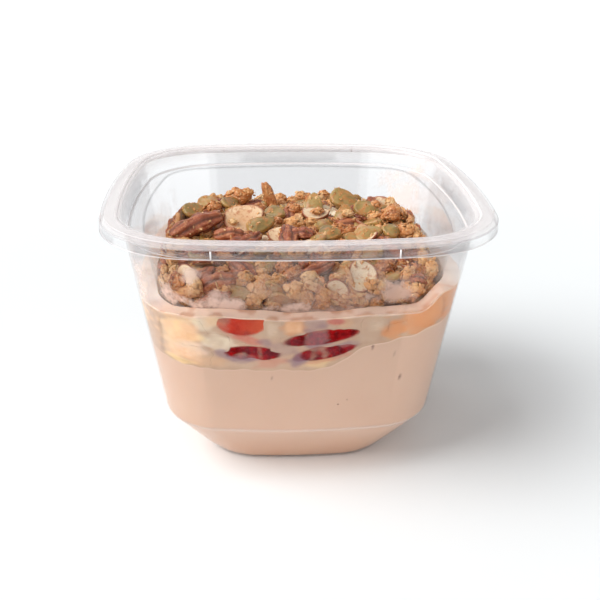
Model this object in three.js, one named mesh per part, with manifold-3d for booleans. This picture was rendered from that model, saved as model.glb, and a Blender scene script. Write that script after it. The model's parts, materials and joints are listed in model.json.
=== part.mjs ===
// Granola yogurt cup: a clear square deli tub with a clear tray nested in its mouth.
// The tub holds yogurt under cut fruit, and the tray holds a heap of granola.
// Millimetres, +Z up. The origin is the middle of the flat underside. The front looks along -Y.
import * as THREE from 'three';
import { mergeVertices } from 'three/addons/utils/BufferGeometryUtils.js';
import Module from 'manifold-3d';

const wasm = await Module();
wasm.setup();

// Tub sections: height, half width, radius of the bowed sides and radius of the corners
const BASE = { z: 0, half: 30.6, side: 180, corner: 17.5 };
const CREASE = { z: 19.2, half: 44.5, side: 191, corner: 20 };
const MOUTH = { z: 84.5, half: 54.4, side: 250, corner: 27 };
const RIM = { z: 84.5, half: 60, side: 289, corner: 31 };
const TUB_WALL = 0.6;
const SKIRT_DROP = 3.2;
const RIM_ROUND = 0.7;
const CREASE_ROUND = 1.6;
const HEEL_ROUND = 1.2;
const SKIRT_RIB = { width: 0.5, proud: 0.25, along: 25 };
// Shares of a wall's thickness by which its inner heel and knee stand higher than the outer ones
const HEEL_LIFT = 0.8;
const KNEE_LIFT = 0.4;

// Tray: its flange lies on the tub's rim, and its ledge narrows to the pan that holds the granola
const TRAY_WALL = 0.5;
const TRAY_FLANGE_HALF = 58.4;
const TRAY_LIP_HALF = 54.7;
const TRAY_EDGE_ROUND = 0.2;
const LEDGE_Z = 78.3;
const LEDGE_ROUND = 1;
const PAN_TOP = { z: LEDGE_Z, half: 48.4, side: 191, corner: 14 };
const PAN_FOOT = { z: 57.9, half: 44.6, side: 191, corner: 18.2 };
const PAN_FOOT_ROUND = 2.4;

// Clearance between touching pieces
const GAP = 0.3;

// Corners closer than this become one
const WELD = 0.01;

// Yogurt: its top is low on the left, climbs in one step and stays high on the right
const YOGURT_LOW = 42.3;
const YOGURT_STEP = { from: 4, to: 22, rise: 8.4, skew: 0.12 };
const YOGURT_RIGHT_SLOPE = 0.19;
const YOGURT_LEFT_LIP = { from: -30, slope: 0.16 };
const YOGURT_SWELL = { height: 0.9, back: 0.09, across: 0.05 };
const FRONT_WALL = -47;

// Fruit layer: fills up to the tray's underside, a little higher round it, highest front right
const FRUIT_TOP = 60.2;
const FRUIT_RIGHT = { from: 33, to: 42, rise: 5, backEnd: 10, fade: 40 };
const FRUIT_SWELL = { height: 0.5, across: 0.13, back: -0.1 };

// How far a piece of fruit would reach past the wall's inner face, where it is cut flat
const PRESS = 0.8;

// Plumpness of the fruit: a lower power is a boxier form
const DICE = { power: 0.5, even: 0.55, corner: 0.45 };
const SLICE = { power: 0.55, taper: 0.28 };

// Half width and grid steps of the surfaces that shape the yogurt and the fruit layer
const SURFACE_REACH = 56;
const SURFACE_FLOOR = -5;
const YOGURT_STEPS = 11;
const FRUIT_STEPS = 8;

// Steps in half a side and in half a corner of every outline
const SIDE_STEPS = 2;
const CORNER_STEPS = 3;

// Fruit pressed against the wall: side of the tub, distance along it and height, and the
// size along, into and up the wall. A positive roll lifts the piece's right end.
const FRUIT = [
  { name: 'strawberry_slice_1', side: 0, along: -17.4, z: 58.0, size: [14.8, 8, 8.5], roll: -2 },
  { name: 'strawberry_slice_2', side: 0, along: -14.6, z: 48.3, size: [17.6, 12, 4.8], roll: -3 },
  { name: 'strawberry_slice_3', side: 0, along: 5.4, z: 53.7, size: [22.8, 13, 4.2], roll: 9 },
  { name: 'strawberry_slice_4', side: 0, along: 6.4, z: 48.1, size: [19.5, 12, 4.4], roll: 12 },
  { name: 'strawberry_slice_5', side: 0, along: 9.8, z: 58.2, size: [7.6, 7, 3.6], roll: 0 },
  { name: 'strawberry_slice_6', side: 1, along: -20, z: 57, size: [17, 10, 5], roll: -8 },
  { name: 'strawberry_slice_7', side: 2, along: -16, z: 56.4, size: [21, 12, 4.8], roll: 6 },
  { name: 'strawberry_slice_8', side: 3, along: -2, z: 53, size: [20, 12, 4.8], roll: 8 },
  { name: 'peach_piece_1', side: 0, along: -2.6, z: 57.4, size: [6.4, 8, 4.6], roll: 0 },
  { name: 'peach_piece_2', side: 0, along: -33.8, z: 54.8, size: [14, 12, 8.2], roll: 6 },
  { name: 'peach_piece_3', side: 0, along: -33.4, z: 46.9, size: [16, 12, 5.4], roll: -4 },
  { name: 'peach_piece_4', side: 0, along: 27, z: 55.4, size: [6.8, 9, 4.8], roll: 12 },
  { name: 'peach_piece_5', side: 0, along: 35.6, z: 59.6, size: [11.6, 9, 9.6], roll: 12 },
  { name: 'peach_piece_6', side: 1, along: 4, z: 57.4, size: [13, 11, 6.4], roll: 5 },
  { name: 'peach_piece_7', side: 2, along: 10, z: 51, size: [13, 12, 7.4], roll: 8 },
  { name: 'peach_piece_8', side: 3, along: -24, z: 54, size: [12, 11, 8], roll: -8 },
  { name: 'pear_piece_1', side: 0, along: -24.4, z: 51.6, size: [5.6, 8, 5.6], roll: -6 },
  { name: 'pear_piece_2', side: 0, along: -8, z: 56.4, size: [4, 8, 7], roll: 0 },
  { name: 'pear_piece_3', side: 0, along: 20, z: 57.2, size: [6.6, 9, 5.8], roll: 6 },
];

// Granola heap: its core, and the size and share of each kind of piece
const HEAP = { inset: 2.1, shoulder: 65.6, crown: 68, lift: 0.035, waver: 0.7, wander: 0.012 };
const HEAP_FOOT = { more: 2, rise: 2, still: 1, even: 3 };
const HEAP_TOP = { shoulderInset: 1.5, edgeInset: 7, edgeDrop: 0.4, crownInset: 26 };
const HEAP_LUMPS = { x: 0.31, xStart: 1.3, y: 0.27, yStart: -0.4, slant: 0.5, slantShare: 0.5 };
const HEAP_WANDER = { turns: 5, start: 1 };
const HEAP_SEED = 20272;

// Pieces drawn at random: on the dome by pitch, and in rows round its side
const ON_DOME = { pitch: 10.6, rowShare: 0.9, reach: 37.5, above: 0.6, rise: 1.2, fall: 0.0014, swing: 44 };
const ROUND_SIDE = { rows: [[61.8, 4.2], [66.2, 3.8]], count: 11, rise: 1.6, tip: 90, swing: 40 };
const STRAY = { dome: 0.3, side: 0.5 };
const VARY = { least: 0.85, more: 0.3 };
const CLEAR_OF_FEATURED = 6;

// Unevenness of a piece's corners, and the taper of the kinds that have one
const ROUGH = { cluster: 0.36, other: 0.1 };
const SEED_TAPER = 0.7;
const ALMOND_TAPER = 0.92;
const SLIVER_TAPER = 0.72;
const PIECES = {
  seed: { size: [9.6, 6.2, 2.8], share: 0.36 },
  cluster: { size: [8.4, 7, 5.6], share: 0.26 },
  almond: { size: [12, 8.6, 1.7], share: 0.12 },
  pecan: { size: [14, 7.4, 5.6], share: 0.12 },
  sliver: { size: [12, 3.6, 2.6], share: 0.14 },
};

// Granola pieces that the eye picks out, on top and through the front of the tray.
// tip lifts the back edge, roll then lifts the left end, and turn swings the piece about Z.
const FEATURED = [
  { kind: 'pecan', at: [-32.9, 0.2, 71.2], turn: 30, tip: 10, roll: -12, size: [20, 8, 6.6] },
  { kind: 'almond', at: [-17, 5.8, 71.8], turn: 18, tip: 38, roll: -14, size: [14, 11, 2.4] },
  { kind: 'cluster', at: [-19, 30, 72], turn: 8, tip: 10, roll: 6, size: [12, 7.4, 7.6] },
  { kind: 'cluster', at: [-27.5, 20.4, 71], turn: 30, tip: 0, roll: 0, size: [6.6, 6, 5.8] },
  { kind: 'seed', at: [-34.9, 20, 70.2], turn: 30, tip: 30, roll: 0, size: [8, 6.4, 3.4] },
  { kind: 'sliver', at: [-8.2, 29, 72.4], turn: 0, tip: 0, roll: -105, size: [11, 3, 5] },
  { kind: 'seed', at: [-11.2, 2.4, 70.6], turn: 20, tip: 25, roll: -12, size: [10.4, 6.6, 3.2] },
  { kind: 'seed', at: [-6.4, 16, 70.2], turn: -35, tip: 30, roll: 0, size: [8.4, 6.2, 3.2] },
  { kind: 'cluster', at: [0.2, 19.9, 70], turn: 0, tip: 0, roll: 0, size: [7.6, 6, 5.4] },
  { kind: 'cluster', at: [-0.3, 5.4, 70], turn: 10, tip: 0, roll: 0, size: [9.4, 7, 4.8] },
  { kind: 'almond', at: [7.9, 15, 70.2], turn: 0, tip: 12, roll: 0, size: [9.6, 8, 2] },
  { kind: 'seed', at: [7.6, 22.6, 71.2], turn: 80, tip: 0, roll: -45, size: [9, 7, 3.4] },
  { kind: 'seed', at: [19.4, 26.4, 71.5], turn: -22, tip: 34, roll: 22, size: [11.6, 7.6, 3.8] },
  { kind: 'seed', at: [17.9, 13, 70.2], turn: 80, tip: 0, roll: -40, size: [9, 6.6, 3.2] },
  { kind: 'seed', at: [26.4, 18, 70.4], turn: 0, tip: 30, roll: 6, size: [10, 7, 4.4] },
  { kind: 'seed', at: [24, -4.6, 69.4], turn: 14, tip: 24, roll: -10, size: [10, 6.6, 3.4] },
  { kind: 'seed', at: [11.2, -5.3, 69.8], turn: -12, tip: 30, roll: 0, size: [8, 6.4, 3.2] },
  { kind: 'seed', at: [32, -2.8, 69.6], turn: 40, tip: 30, roll: 0, size: [7.4, 5.6, 3.2] },
  { kind: 'pecan', at: [-22, -5.3, 69.8], turn: 6, tip: 0, roll: 0, size: [10, 6.4, 5] },
  { kind: 'pecan', at: [1.9, -5, 69.6], turn: -10, tip: 0, roll: 0, size: [9, 6.4, 5] },
  { kind: 'almond', at: [-5, -4.8, 69.6], turn: 24, tip: 30, roll: -10, size: [9, 6.4, 2] },
  { kind: 'cluster', at: [35, 14.6, 69.8], turn: 50, tip: 0, roll: 0, size: [10.4, 8.6, 7.8] },
  { kind: 'cluster', at: [36.8, -0.6, 68.6], turn: 0, tip: 0, roll: 0, size: [8.8, 7.8, 6.8] },
  { kind: 'sliver', at: [-33.7, -38.4, 64], turn: 4, tip: 0, roll: -13, size: [13.4, 6.2, 4.6] },
  { kind: 'sliver', at: [-17.6, -41.6, 61], turn: 2, tip: 0, roll: 2, size: [12, 3.4, 2.8] },
  { kind: 'seed', at: [-19.4, -41, 64.4], turn: 0, tip: 66, roll: 4, size: [11, 5.4, 3.8] },
  { kind: 'cluster', at: [-7.8, -40.4, 62.8], turn: 0, tip: 0, roll: 0, size: [7.8, 6, 6.6] },
  { kind: 'almond', at: [17.6, -40.6, 69.2], turn: 0, tip: 68, roll: 0, size: [8.6, 9.6, 2.2] },
  { kind: 'sliver', at: [14.6, -41.4, 66], turn: 0, tip: 0, roll: -105, size: [13, 3, 2.6] },
  { kind: 'cluster', at: [9.6, -40.6, 63.2], turn: 0, tip: 0, roll: 0, size: [5.4, 5, 8] },
  { kind: 'cluster', at: [32.6, -38.6, 63.8], turn: -20, tip: 0, roll: 0, size: [8.6, 6, 7] },
];

// Outline of a square with bowed sides and round corners, all arcs tangent
function squareLoop({ half, side, corner }) {
  const sideMiddle = half - side;
  const reach = side - corner;
  const c = (sideMiddle + Math.sqrt(2 * reach * reach - sideMiddle * sideMiddle)) / 2;
  const turn = Math.atan2(c, c - sideMiddle);
  const eighth = [];
  for (let i = 0; i < SIDE_STEPS; i++) {
    const a = (turn * i) / SIDE_STEPS;
    eighth.push([sideMiddle + side * Math.cos(a), side * Math.sin(a)]);
  }
  for (let i = 0; i < CORNER_STEPS; i++) {
    const a = turn + ((Math.PI / 4 - turn) * i) / CORNER_STEPS;
    eighth.push([c + corner * Math.cos(a), c + corner * Math.sin(a)]);
  }
  const mirrored = eighth.slice(1).reverse().map(([x, y]) => [y, x]);
  const diagonal = c + corner * Math.SQRT1_2;
  const quarter = [...eighth, [diagonal, diagonal], ...mirrored];
  const loop = [];
  for (let q = 0; q < 4; q++) {
    const cos = [1, 0, -1, 0][q];
    const sin = [0, 1, 0, -1][q];
    for (const [x, y] of quarter) loop.push([x * cos - y * sin, x * sin + y * cos]);
  }
  return loop;
}

// The point at a share of the way round an outline
function pointAlong(loop, share) {
  const lengths = loop.map(([x, y], i) => {
    const [u, v] = loop[(i + 1) % loop.length];
    return Math.hypot(u - x, v - y);
  });
  let left = (share % 1) * lengths.reduce((sum, length) => sum + length, 0);
  let i = 0;
  while (left > lengths[i]) left -= lengths[i++];
  const t = left / lengths[i];
  const [x, y] = loop[i];
  const [u, v] = loop[(i + 1) % loop.length];
  return [x + (u - x) * t, y + (v - y) * t];
}

// An outline moved inwards by t, or outwards where t is negative
function inset(outline, t) {
  return { ...outline, half: outline.half - t, side: outline.side - t, corner: outline.corner - t };
}

const atHeight = (outline, z) => ({ ...outline, z });

function blend(p, q, t) {
  const mix = (key) => p[key] + (q[key] - p[key]) * t;
  return { z: mix('z'), half: mix('half'), side: mix('side'), corner: mix('corner') };
}

// The tub's outer section at height z
function tubAt(z) {
  if (z <= CREASE.z) return blend(BASE, CREASE, z / CREASE.z);
  return blend(CREASE, MOUTH, (z - CREASE.z) / (MOUTH.z - CREASE.z));
}

function geometryOf(positions, indices) {
  const geometry = new THREE.BufferGeometry();
  geometry.setAttribute('position', new THREE.Float32BufferAttribute(positions, 3));
  geometry.setIndex(indices);
  return geometry;
}

// Skin over a list of outlines, closed to the middle of the first and of the last
function loft(rings) {
  const loops = rings.map((ring) => squareLoop(ring).map(([x, y]) => [x, y, ring.z]));
  const n = loops[0].length;
  const positions = loops.flat(2);
  const first = positions.length / 3;
  positions.push(0, 0, rings[0].z, 0, 0, rings.at(-1).z);
  const indices = [];
  for (let r = 0; r + 1 < loops.length; r++) {
    for (let i = 0; i < n; i++) {
      const j = (i + 1) % n;
      const [a, b, c, d] = [r * n + i, r * n + j, (r + 1) * n + i, (r + 1) * n + j];
      indices.push(a, b, d, a, d, c);
    }
  }
  const top = (loops.length - 1) * n;
  for (let i = 0; i < n; i++) {
    const j = (i + 1) % n;
    indices.push(first, j, i, first + 1, top + i, top + j);
  }
  return geometryOf(positions, indices);
}

function bareMerged(geometry, tolerance = 1e-4) {
  const bare = geometry.clone();
  bare.deleteAttribute('normal');
  bare.deleteAttribute('uv');
  return mergeVertices(bare, tolerance);
}

function toSolid(geometry, tolerance) {
  const merged = bareMerged(geometry, tolerance);
  const vertProperties = new Float32Array(merged.attributes.position.array);
  const triVerts = new Uint32Array(merged.index.array);
  return new wasm.Manifold(new wasm.Mesh({ numProp: 3, vertProperties, triVerts }));
}

function toGeometry(solid) {
  const { vertProperties, triVerts } = solid.getMesh();
  return geometryOf(Array.from(vertProperties), Array.from(triVerts));
}

// The largest of the pieces that a cut leaves, with corners that all but meet made one
function largest(solid) {
  const parts = solid.decompose();
  const best = parts.reduce((most, part) => (part.volume() > most.volume() ? part : most));
  return toSolid(toGeometry(best), WELD);
}

function smooth(t) {
  const s = Math.min(Math.max(t, 0), 1);
  return s * s * (3 - 2 * s);
}

// Repeatable random numbers from 0 to 1
function makeRandom(seed) {
  let state = seed;
  return () => {
    state = (state * 48271) % 2147483647;
    return state / 2147483647;
  };
}

// A block that fills everything under the surface z = height(x, y)
function blockUnder(height, steps) {
  const positions = [];
  const indices = [];
  const row = steps + 1;
  const at = (i) => -SURFACE_REACH + (2 * SURFACE_REACH * i) / steps;
  for (const level of [height, () => SURFACE_FLOOR]) {
    for (let j = 0; j < row; j++) {
      for (let i = 0; i < row; i++) positions.push(at(i), at(j), level(at(i), at(j)));
    }
  }
  const under = row * row;
  for (let j = 0; j < steps; j++) {
    for (let i = 0; i < steps; i++) {
      const a = j * row + i;
      const [b, c, d] = [a + 1, a + row, a + row + 1];
      indices.push(a, b, d, a, d, c);
      indices.push(under + a, under + d, under + b, under + a, under + c, under + d);
    }
  }
  for (let i = 0; i < steps; i++) {
    const edges = [
      [i, i + 1],
      [steps * row + i + 1, steps * row + i],
      [(i + 1) * row, i * row],
      [i * row + steps, (i + 1) * row + steps],
    ];
    for (const [p, q] of edges) indices.push(p, under + p, under + q, p, under + q, q);
  }
  return toSolid(geometryOf(positions, indices));
}

// Outlines of the tub's body t inside its outer face, from the underside to just over the crease
function bodyRings(t) {
  const heel = blend(BASE, CREASE, HEEL_ROUND / CREASE.z);
  const knee = blend(BASE, CREASE, 1 - CREASE_ROUND / CREASE.z);
  const shoulder = tubAt(CREASE.z + CREASE_ROUND);
  return [
    atHeight(inset(BASE, HEEL_ROUND + t), t),
    atHeight(inset(heel, t), heel.z + t * HEEL_LIFT),
    atHeight(inset(knee, t), knee.z + t * KNEE_LIFT),
    inset(shoulder, t),
  ];
}

function makeTub() {
  const t = TUB_WALL;
  const top = RIM.z;
  const mouth = tubAt(top - RIM_ROUND);
  const rings = [
    ...bodyRings(0),
    tubAt(top - t),
    atHeight(inset(RIM, t), top - t),
    atHeight(inset(RIM, t), top - SKIRT_DROP),
    atHeight(RIM, top - SKIRT_DROP),
    atHeight(RIM, top - RIM_ROUND),
    atHeight(inset(RIM, RIM_ROUND), top),
    atHeight(inset(MOUTH, t - RIM_ROUND), top),
    inset(mouth, t),
    ...bodyRings(t).reverse(),
  ];
  let tub = toSolid(loft(rings));
  for (let quarter = 0; quarter < 4; quarter++) {
    for (const along of [-SKIRT_RIB.along, SKIRT_RIB.along]) {
      tub = tub.add(toSolid(skirtRib(along).rotateZ((quarter * Math.PI) / 2)));
    }
  }
  return toGeometry(tub);
}

// A short upright rib on the rim's skirt
function skirtRib(along) {
  const height = SKIRT_DROP - RIM_ROUND;
  const bow = RIM.side - Math.sqrt(RIM.side ** 2 - along ** 2);
  const rib = new THREE.BoxGeometry(SKIRT_RIB.width, 2 * SKIRT_RIB.proud, height);
  return rib.translate(along, bow - RIM.half, RIM.z - RIM_ROUND - height / 2);
}

// The space inside the tub up to z, short of its wall by the clearance
function tubSpace(z) {
  const t = TUB_WALL + GAP;
  return toSolid(loft([...bodyRings(t), inset(tubAt(z), t)]));
}

// Outlines of the tray's pan, grown outwards, with its floor lifted, from the floor to the ledge
function panRings(grow, lift) {
  const r = PAN_FOOT_ROUND;
  const cornerTurn = Math.PI / 4;
  const wallFoot = blend(PAN_FOOT, PAN_TOP, r / (PAN_TOP.z - PAN_FOOT.z));
  const middle = inset(PAN_FOOT, r * (1 - Math.sin(cornerTurn)) - grow);
  return [
    atHeight(inset(PAN_FOOT, r - grow), PAN_FOOT.z + lift),
    atHeight(middle, PAN_FOOT.z + r * (1 - Math.cos(cornerTurn)) + lift * Math.cos(cornerTurn)),
    inset(wallFoot, -grow),
    inset(PAN_TOP, -grow),
  ];
}

function makeTray() {
  const t = TRAY_WALL;
  const under = RIM.z + GAP;
  const top = under + t;
  const collarInset = TUB_WALL + GAP;
  const collar = (z, extra) => inset(tubAt(z), collarInset + extra);
  const flangeInset = RIM.half - TRAY_FLANGE_HALF;
  return loft([
    ...panRings(0, 0),
    collar(LEDGE_Z, LEDGE_ROUND),
    collar(LEDGE_Z + LEDGE_ROUND, 0),
    collar(RIM.z - RIM_ROUND, 0),
    atHeight(inset(MOUTH, collarInset - RIM_ROUND), under),
    atHeight(inset(RIM, flangeInset), under),
    atHeight(inset(RIM, flangeInset + TRAY_EDGE_ROUND), top),
    atHeight(inset(RIM, RIM.half - TRAY_LIP_HALF), top),
    collar(RIM.z - RIM_ROUND, t),
    collar(LEDGE_Z + LEDGE_ROUND + t, t),
    atHeight(collar(LEDGE_Z, LEDGE_ROUND + t), LEDGE_Z + t),
    ...panRings(-t, t).reverse(),
  ]);
}

function yogurtTop(x, y) {
  const { from, to, rise, skew } = YOGURT_STEP;
  const back = y - FRONT_WALL;
  const climb = rise * smooth((x + skew * back - from) / (to - from));
  const right = YOGURT_RIGHT_SLOPE * Math.max(x - to, 0);
  const left = YOGURT_LEFT_LIP.slope * Math.max(YOGURT_LEFT_LIP.from - x, 0);
  const wave = Math.sin(YOGURT_SWELL.back * back) * Math.cos(YOGURT_SWELL.across * x);
  return YOGURT_LOW + climb + right + left + YOGURT_SWELL.height * wave;
}

function fruitTop(x, y) {
  const { from, to, rise, backEnd, fade } = FRUIT_RIGHT;
  const front = smooth((backEnd - y) / fade);
  const { height, across, back } = FRUIT_SWELL;
  const swell = height * Math.sin(across * x + back * y);
  return FRUIT_TOP + rise * smooth((x - from) / (to - from)) * front + swell;
}

function makeYogurt() {
  return toGeometry(tubSpace(FRUIT_TOP).intersect(blockUnder(yogurtTop, YOGURT_STEPS)));
}

// Moves a unit ball's vertices to shape(x, y, z), scaled to a size grown on every side
function shapedBall(shape, size, grow) {
  const geometry = new THREE.SphereGeometry(1, 8, 4, Math.PI / 8);
  const position = geometry.attributes.position;
  for (let i = 0; i < position.count; i++) {
    const moved = shape(position.getX(i), position.getY(i), position.getZ(i));
    position.setXYZ(i, ...moved.map((value, axis) => value * (size[axis] / 2 + grow)));
  }
  return geometry;
}

const bulge = (value, power) => Math.sign(value) * Math.abs(value) ** power;

// A dice of fruit with round edges
function diceShape(x, y, z) {
  const [u, v, w] = [x, y, z].map((value) => bulge(value, DICE.power));
  const spread = 1 / (DICE.even + DICE.corner * Math.max(Math.abs(u), Math.abs(v), Math.abs(w)));
  return [u * spread, v * spread, w * spread];
}

// A slice of strawberry: thicker at one end, with a rounded edge
const sliceShape = (x, y, z) => [x, bulge(y, SLICE.power), z * (1 - SLICE.taper * x)];

// A piece of fruit, pressed against the wall of its side of the tub
function fruitPiece({ name, side, along, z, size, roll }, grow) {
  const shape = name.startsWith('strawberry') ? sliceShape : diceShape;
  const geometry = shapedBall(shape, size, grow);
  const section = inset(tubAt(z), TUB_WALL + GAP);
  const bow = section.side - Math.sqrt(section.side ** 2 - along ** 2);
  geometry.rotateY((-roll * Math.PI) / 180);
  geometry.rotateZ(Math.asin(along / section.side));
  geometry.translate(along, bow - section.half + size[1] / 2 - PRESS, z);
  return toSolid(geometry.rotateZ((side * Math.PI) / 2));
}

// The fruit layer with a pocket for each piece of fruit, and the pieces themselves
function makeFruit() {
  const under = blockUnder((x, y) => yogurtTop(x, y) + GAP, YOGURT_STEPS);
  const over = blockUnder(fruitTop, FRUIT_STEPS);
  const plug = toSolid(loft(panRings(GAP, -GAP)));
  const band = tubSpace(LEDGE_Z).intersect(over).subtract(under).subtract(plug);
  let layer = band;
  const pockets = [];
  const pieces = [];
  for (const item of FRUIT) {
    let piece = fruitPiece(item, 0).intersect(band);
    for (const pocket of pockets) piece = piece.subtract(pocket);
    const pocket = fruitPiece(item, GAP);
    layer = layer.subtract(pocket);
    pockets.push(pocket);
    pieces.push({ name: item.name, geometry: toGeometry(largest(piece)) });
  }
  return { layer: toGeometry(largest(layer)), pieces };
}

function unitPiece(kind) {
  const half = 0.5;
  if (kind === 'seed') return new THREE.SphereGeometry(half, 6, 3).rotateX(Math.PI / 2);
  if (kind === 'almond') {
    return new THREE.CylinderGeometry(half, half * ALMOND_TAPER, 1, 6).rotateX(Math.PI / 2);
  }
  if (kind === 'pecan') return new THREE.SphereGeometry(half, 6, 4);
  if (kind === 'sliver') {
    return new THREE.CylinderGeometry(half * SLIVER_TAPER, half, 1, 4).rotateZ(-Math.PI / 2);
  }
  return new THREE.IcosahedronGeometry(half, 0);
}

// One piece of granola, its corners a little uneven
function granolaPiece({ kind, size, at, turn, tip, roll }, random) {
  const geometry = bareMerged(unitPiece(kind));
  const position = geometry.attributes.position;
  const rough = ROUGH[kind] ?? ROUGH.other;
  for (let i = 0; i < position.count; i++) {
    const x = position.getX(i);
    const taper = kind === 'seed' ? 1 - SEED_TAPER * x : 1;
    const uneven = 1 + rough * (random() - 0.5);
    const [y, z] = [position.getY(i) * taper, position.getZ(i)];
    position.setXYZ(i, x * size[0] * uneven, y * size[1] * uneven, z * size[2] * uneven);
  }
  const rad = Math.PI / 180;
  geometry.rotateX(tip * rad).rotateY(roll * rad).rotateZ(turn * rad);
  return toSolid(geometry.translate(...at));
}

// The heap's bare core: a low dome with a wavering outline
function heapCore() {
  const foot = atHeight(PAN_FOOT, PAN_FOOT.z + TRAY_WALL + GAP);
  const geometry = loft([
    inset(foot, HEAP.inset + HEAP_FOOT.more),
    atHeight(inset(foot, HEAP.inset), foot.z + HEAP_FOOT.rise),
    atHeight(inset(foot, HEAP.inset + HEAP_TOP.shoulderInset), HEAP.shoulder),
    atHeight(inset(foot, HEAP_TOP.edgeInset), HEAP.crown - HEAP_TOP.edgeDrop),
    atHeight(inset(foot, HEAP_TOP.crownInset), HEAP.crown),
  ]);
  const { x: alongX, xStart, y: alongY, yStart, slant, slantShare } = HEAP_LUMPS;
  const position = geometry.attributes.position;
  for (let i = 0; i < position.count; i++) {
    const [x, y, z] = [position.getX(i), position.getY(i), position.getZ(i)];
    if (z < foot.z + HEAP_FOOT.still) continue;
    const crossed = Math.sin(alongX * x + xStart) * Math.cos(alongY * y + yStart);
    const lump = crossed + slantShare * Math.sin(slant * (x + y));
    const round = Math.sin(HEAP_WANDER.turns * Math.atan2(y, x) + HEAP_WANDER.start);
    const pull = 1 - HEAP.wander * (1 + round);
    const rise = z < foot.z + HEAP_FOOT.even ? 0 : HEAP.waver * lump + HEAP.lift * y;
    position.setXYZ(i, x * pull, y * pull, z + rise);
  }
  return toSolid(geometry);
}

function pickKind(draw) {
  let left = draw;
  for (const [kind, { share }] of Object.entries(PIECES)) {
    left -= share;
    if (left < 0) return kind;
  }
  return 'cluster';
}

// A spot's kind, size and lie, from five draws
function drawSpot(random, at, turn, tip, swing) {
  const kind = pickKind(random());
  const vary = VARY.least + VARY.more * random();
  const size = PIECES[kind].size.map((value) => value * vary);
  const turned = turn ?? 360 * random();
  const tipped = tip + swing * (random() - 0.5);
  const rolled = swing * (random() - 0.5);
  return { kind, size, at, turn: turned, tip: tipped, roll: rolled };
}

// Spots spread evenly over the dome
function topSpots(random) {
  const spots = [];
  const { pitch, reach: most, above, fall, swing } = ON_DOME;
  const rowPitch = ON_DOME.rowShare * pitch;
  const count = Math.ceil(most / rowPitch);
  for (let j = -count; j <= count; j++) {
    for (let i = -count; i <= count; i++) {
      const x = pitch * (i + (j % 2 ? 0.5 : 0) + STRAY.dome * (random() - 0.5));
      const y = rowPitch * (j + STRAY.dome * (random() - 0.5));
      const rise = ON_DOME.rise * random();
      const reach = (x ** 4 + y ** 4) ** 0.25;
      if (reach > most) continue;
      const z = HEAP.crown + above + rise + HEAP.lift * y - fall * reach * reach;
      spots.push(drawSpot(random, [x, y, z], null, 0, swing));
    }
  }
  return spots;
}

// Spots in two rows round the side of the heap
function sideSpots(random) {
  const spots = [];
  const { rows, count, tip, swing } = ROUND_SIDE;
  for (const [z, pull] of rows) {
    const loop = squareLoop(inset(PAN_FOOT, pull));
    for (let i = 0; i < count; i++) {
      const [x, y] = pointAlong(loop, (i + STRAY.side * random()) / count);
      const rise = ROUND_SIDE.rise * (random() - 0.5);
      const turn = (Math.atan2(y ** 3, x ** 3) * 180) / Math.PI + 90;
      spots.push(drawSpot(random, [x, y, z + rise], turn, tip, swing));
    }
  }
  return spots;
}

function makeGranola() {
  const random = makeRandom(HEAP_SEED);
  const roughness = makeRandom(HEAP_SEED + 1);
  const farFrom = (at) => ({ at: other }) =>
    Math.hypot(...at.map((value, axis) => value - other[axis])) > CLEAR_OF_FEATURED;
  const drawn = [...topSpots(random), ...sideSpots(random)];
  const free = drawn.filter(({ at }) => FEATURED.every(farFrom(at)));
  const rank = ({ kind }) => PIECES[kind].size[0];
  const spots = [...FEATURED, ...free.sort((p, q) => rank(q) - rank(p))];
  let heap = heapCore();
  for (const spot of spots) heap = heap.add(granolaPiece(spot, roughness));
  const space = toSolid(loft(panRings(-TRAY_WALL - GAP, TRAY_WALL + GAP)));
  return toGeometry(largest(heap.intersect(space)));
}

function paint(color, roughness) {
  return new THREE.MeshStandardMaterial({ color, roughness, metalness: 0 });
}

const clearPlastic = paint(0xe9ecec, 0.08);
clearPlastic.transparent = true;
clearPlastic.opacity = 0.3;
const fruitPaint = {
  strawberry: paint(0xb3231f, 0.35),
  peach: paint(0xe8a866, 0.4),
  pear: paint(0xe2cfae, 0.45),
};

const cup = new THREE.Group();

function addMesh(name, geometry, material) {
  const mesh = new THREE.Mesh(geometry, material);
  mesh.name = name;
  cup.add(mesh);
}

const fruit = makeFruit();
addMesh('tub', makeTub(), clearPlastic);
addMesh('tray', makeTray(), clearPlastic);
addMesh('yogurt', makeYogurt(), paint(0xe3bfa4, 0.45));
addMesh('fruit_layer', fruit.layer, paint(0xd9bd9b, 0.4));
for (const { name, geometry } of fruit.pieces) {
  addMesh(name, geometry, fruitPaint[name.split('_')[0]]);
}
addMesh('granola', makeGranola(), paint(0xb07a45, 0.7));

export default cup;
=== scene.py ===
# Granola yogurt cup: the finished looks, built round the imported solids.
# Lengths are in millimetres. Each mesh is made at its place and written in metres.
import json
import math
import random

import bmesh
import bpy
import numpy as np
from mathutils import Matrix, Vector, noise

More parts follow.
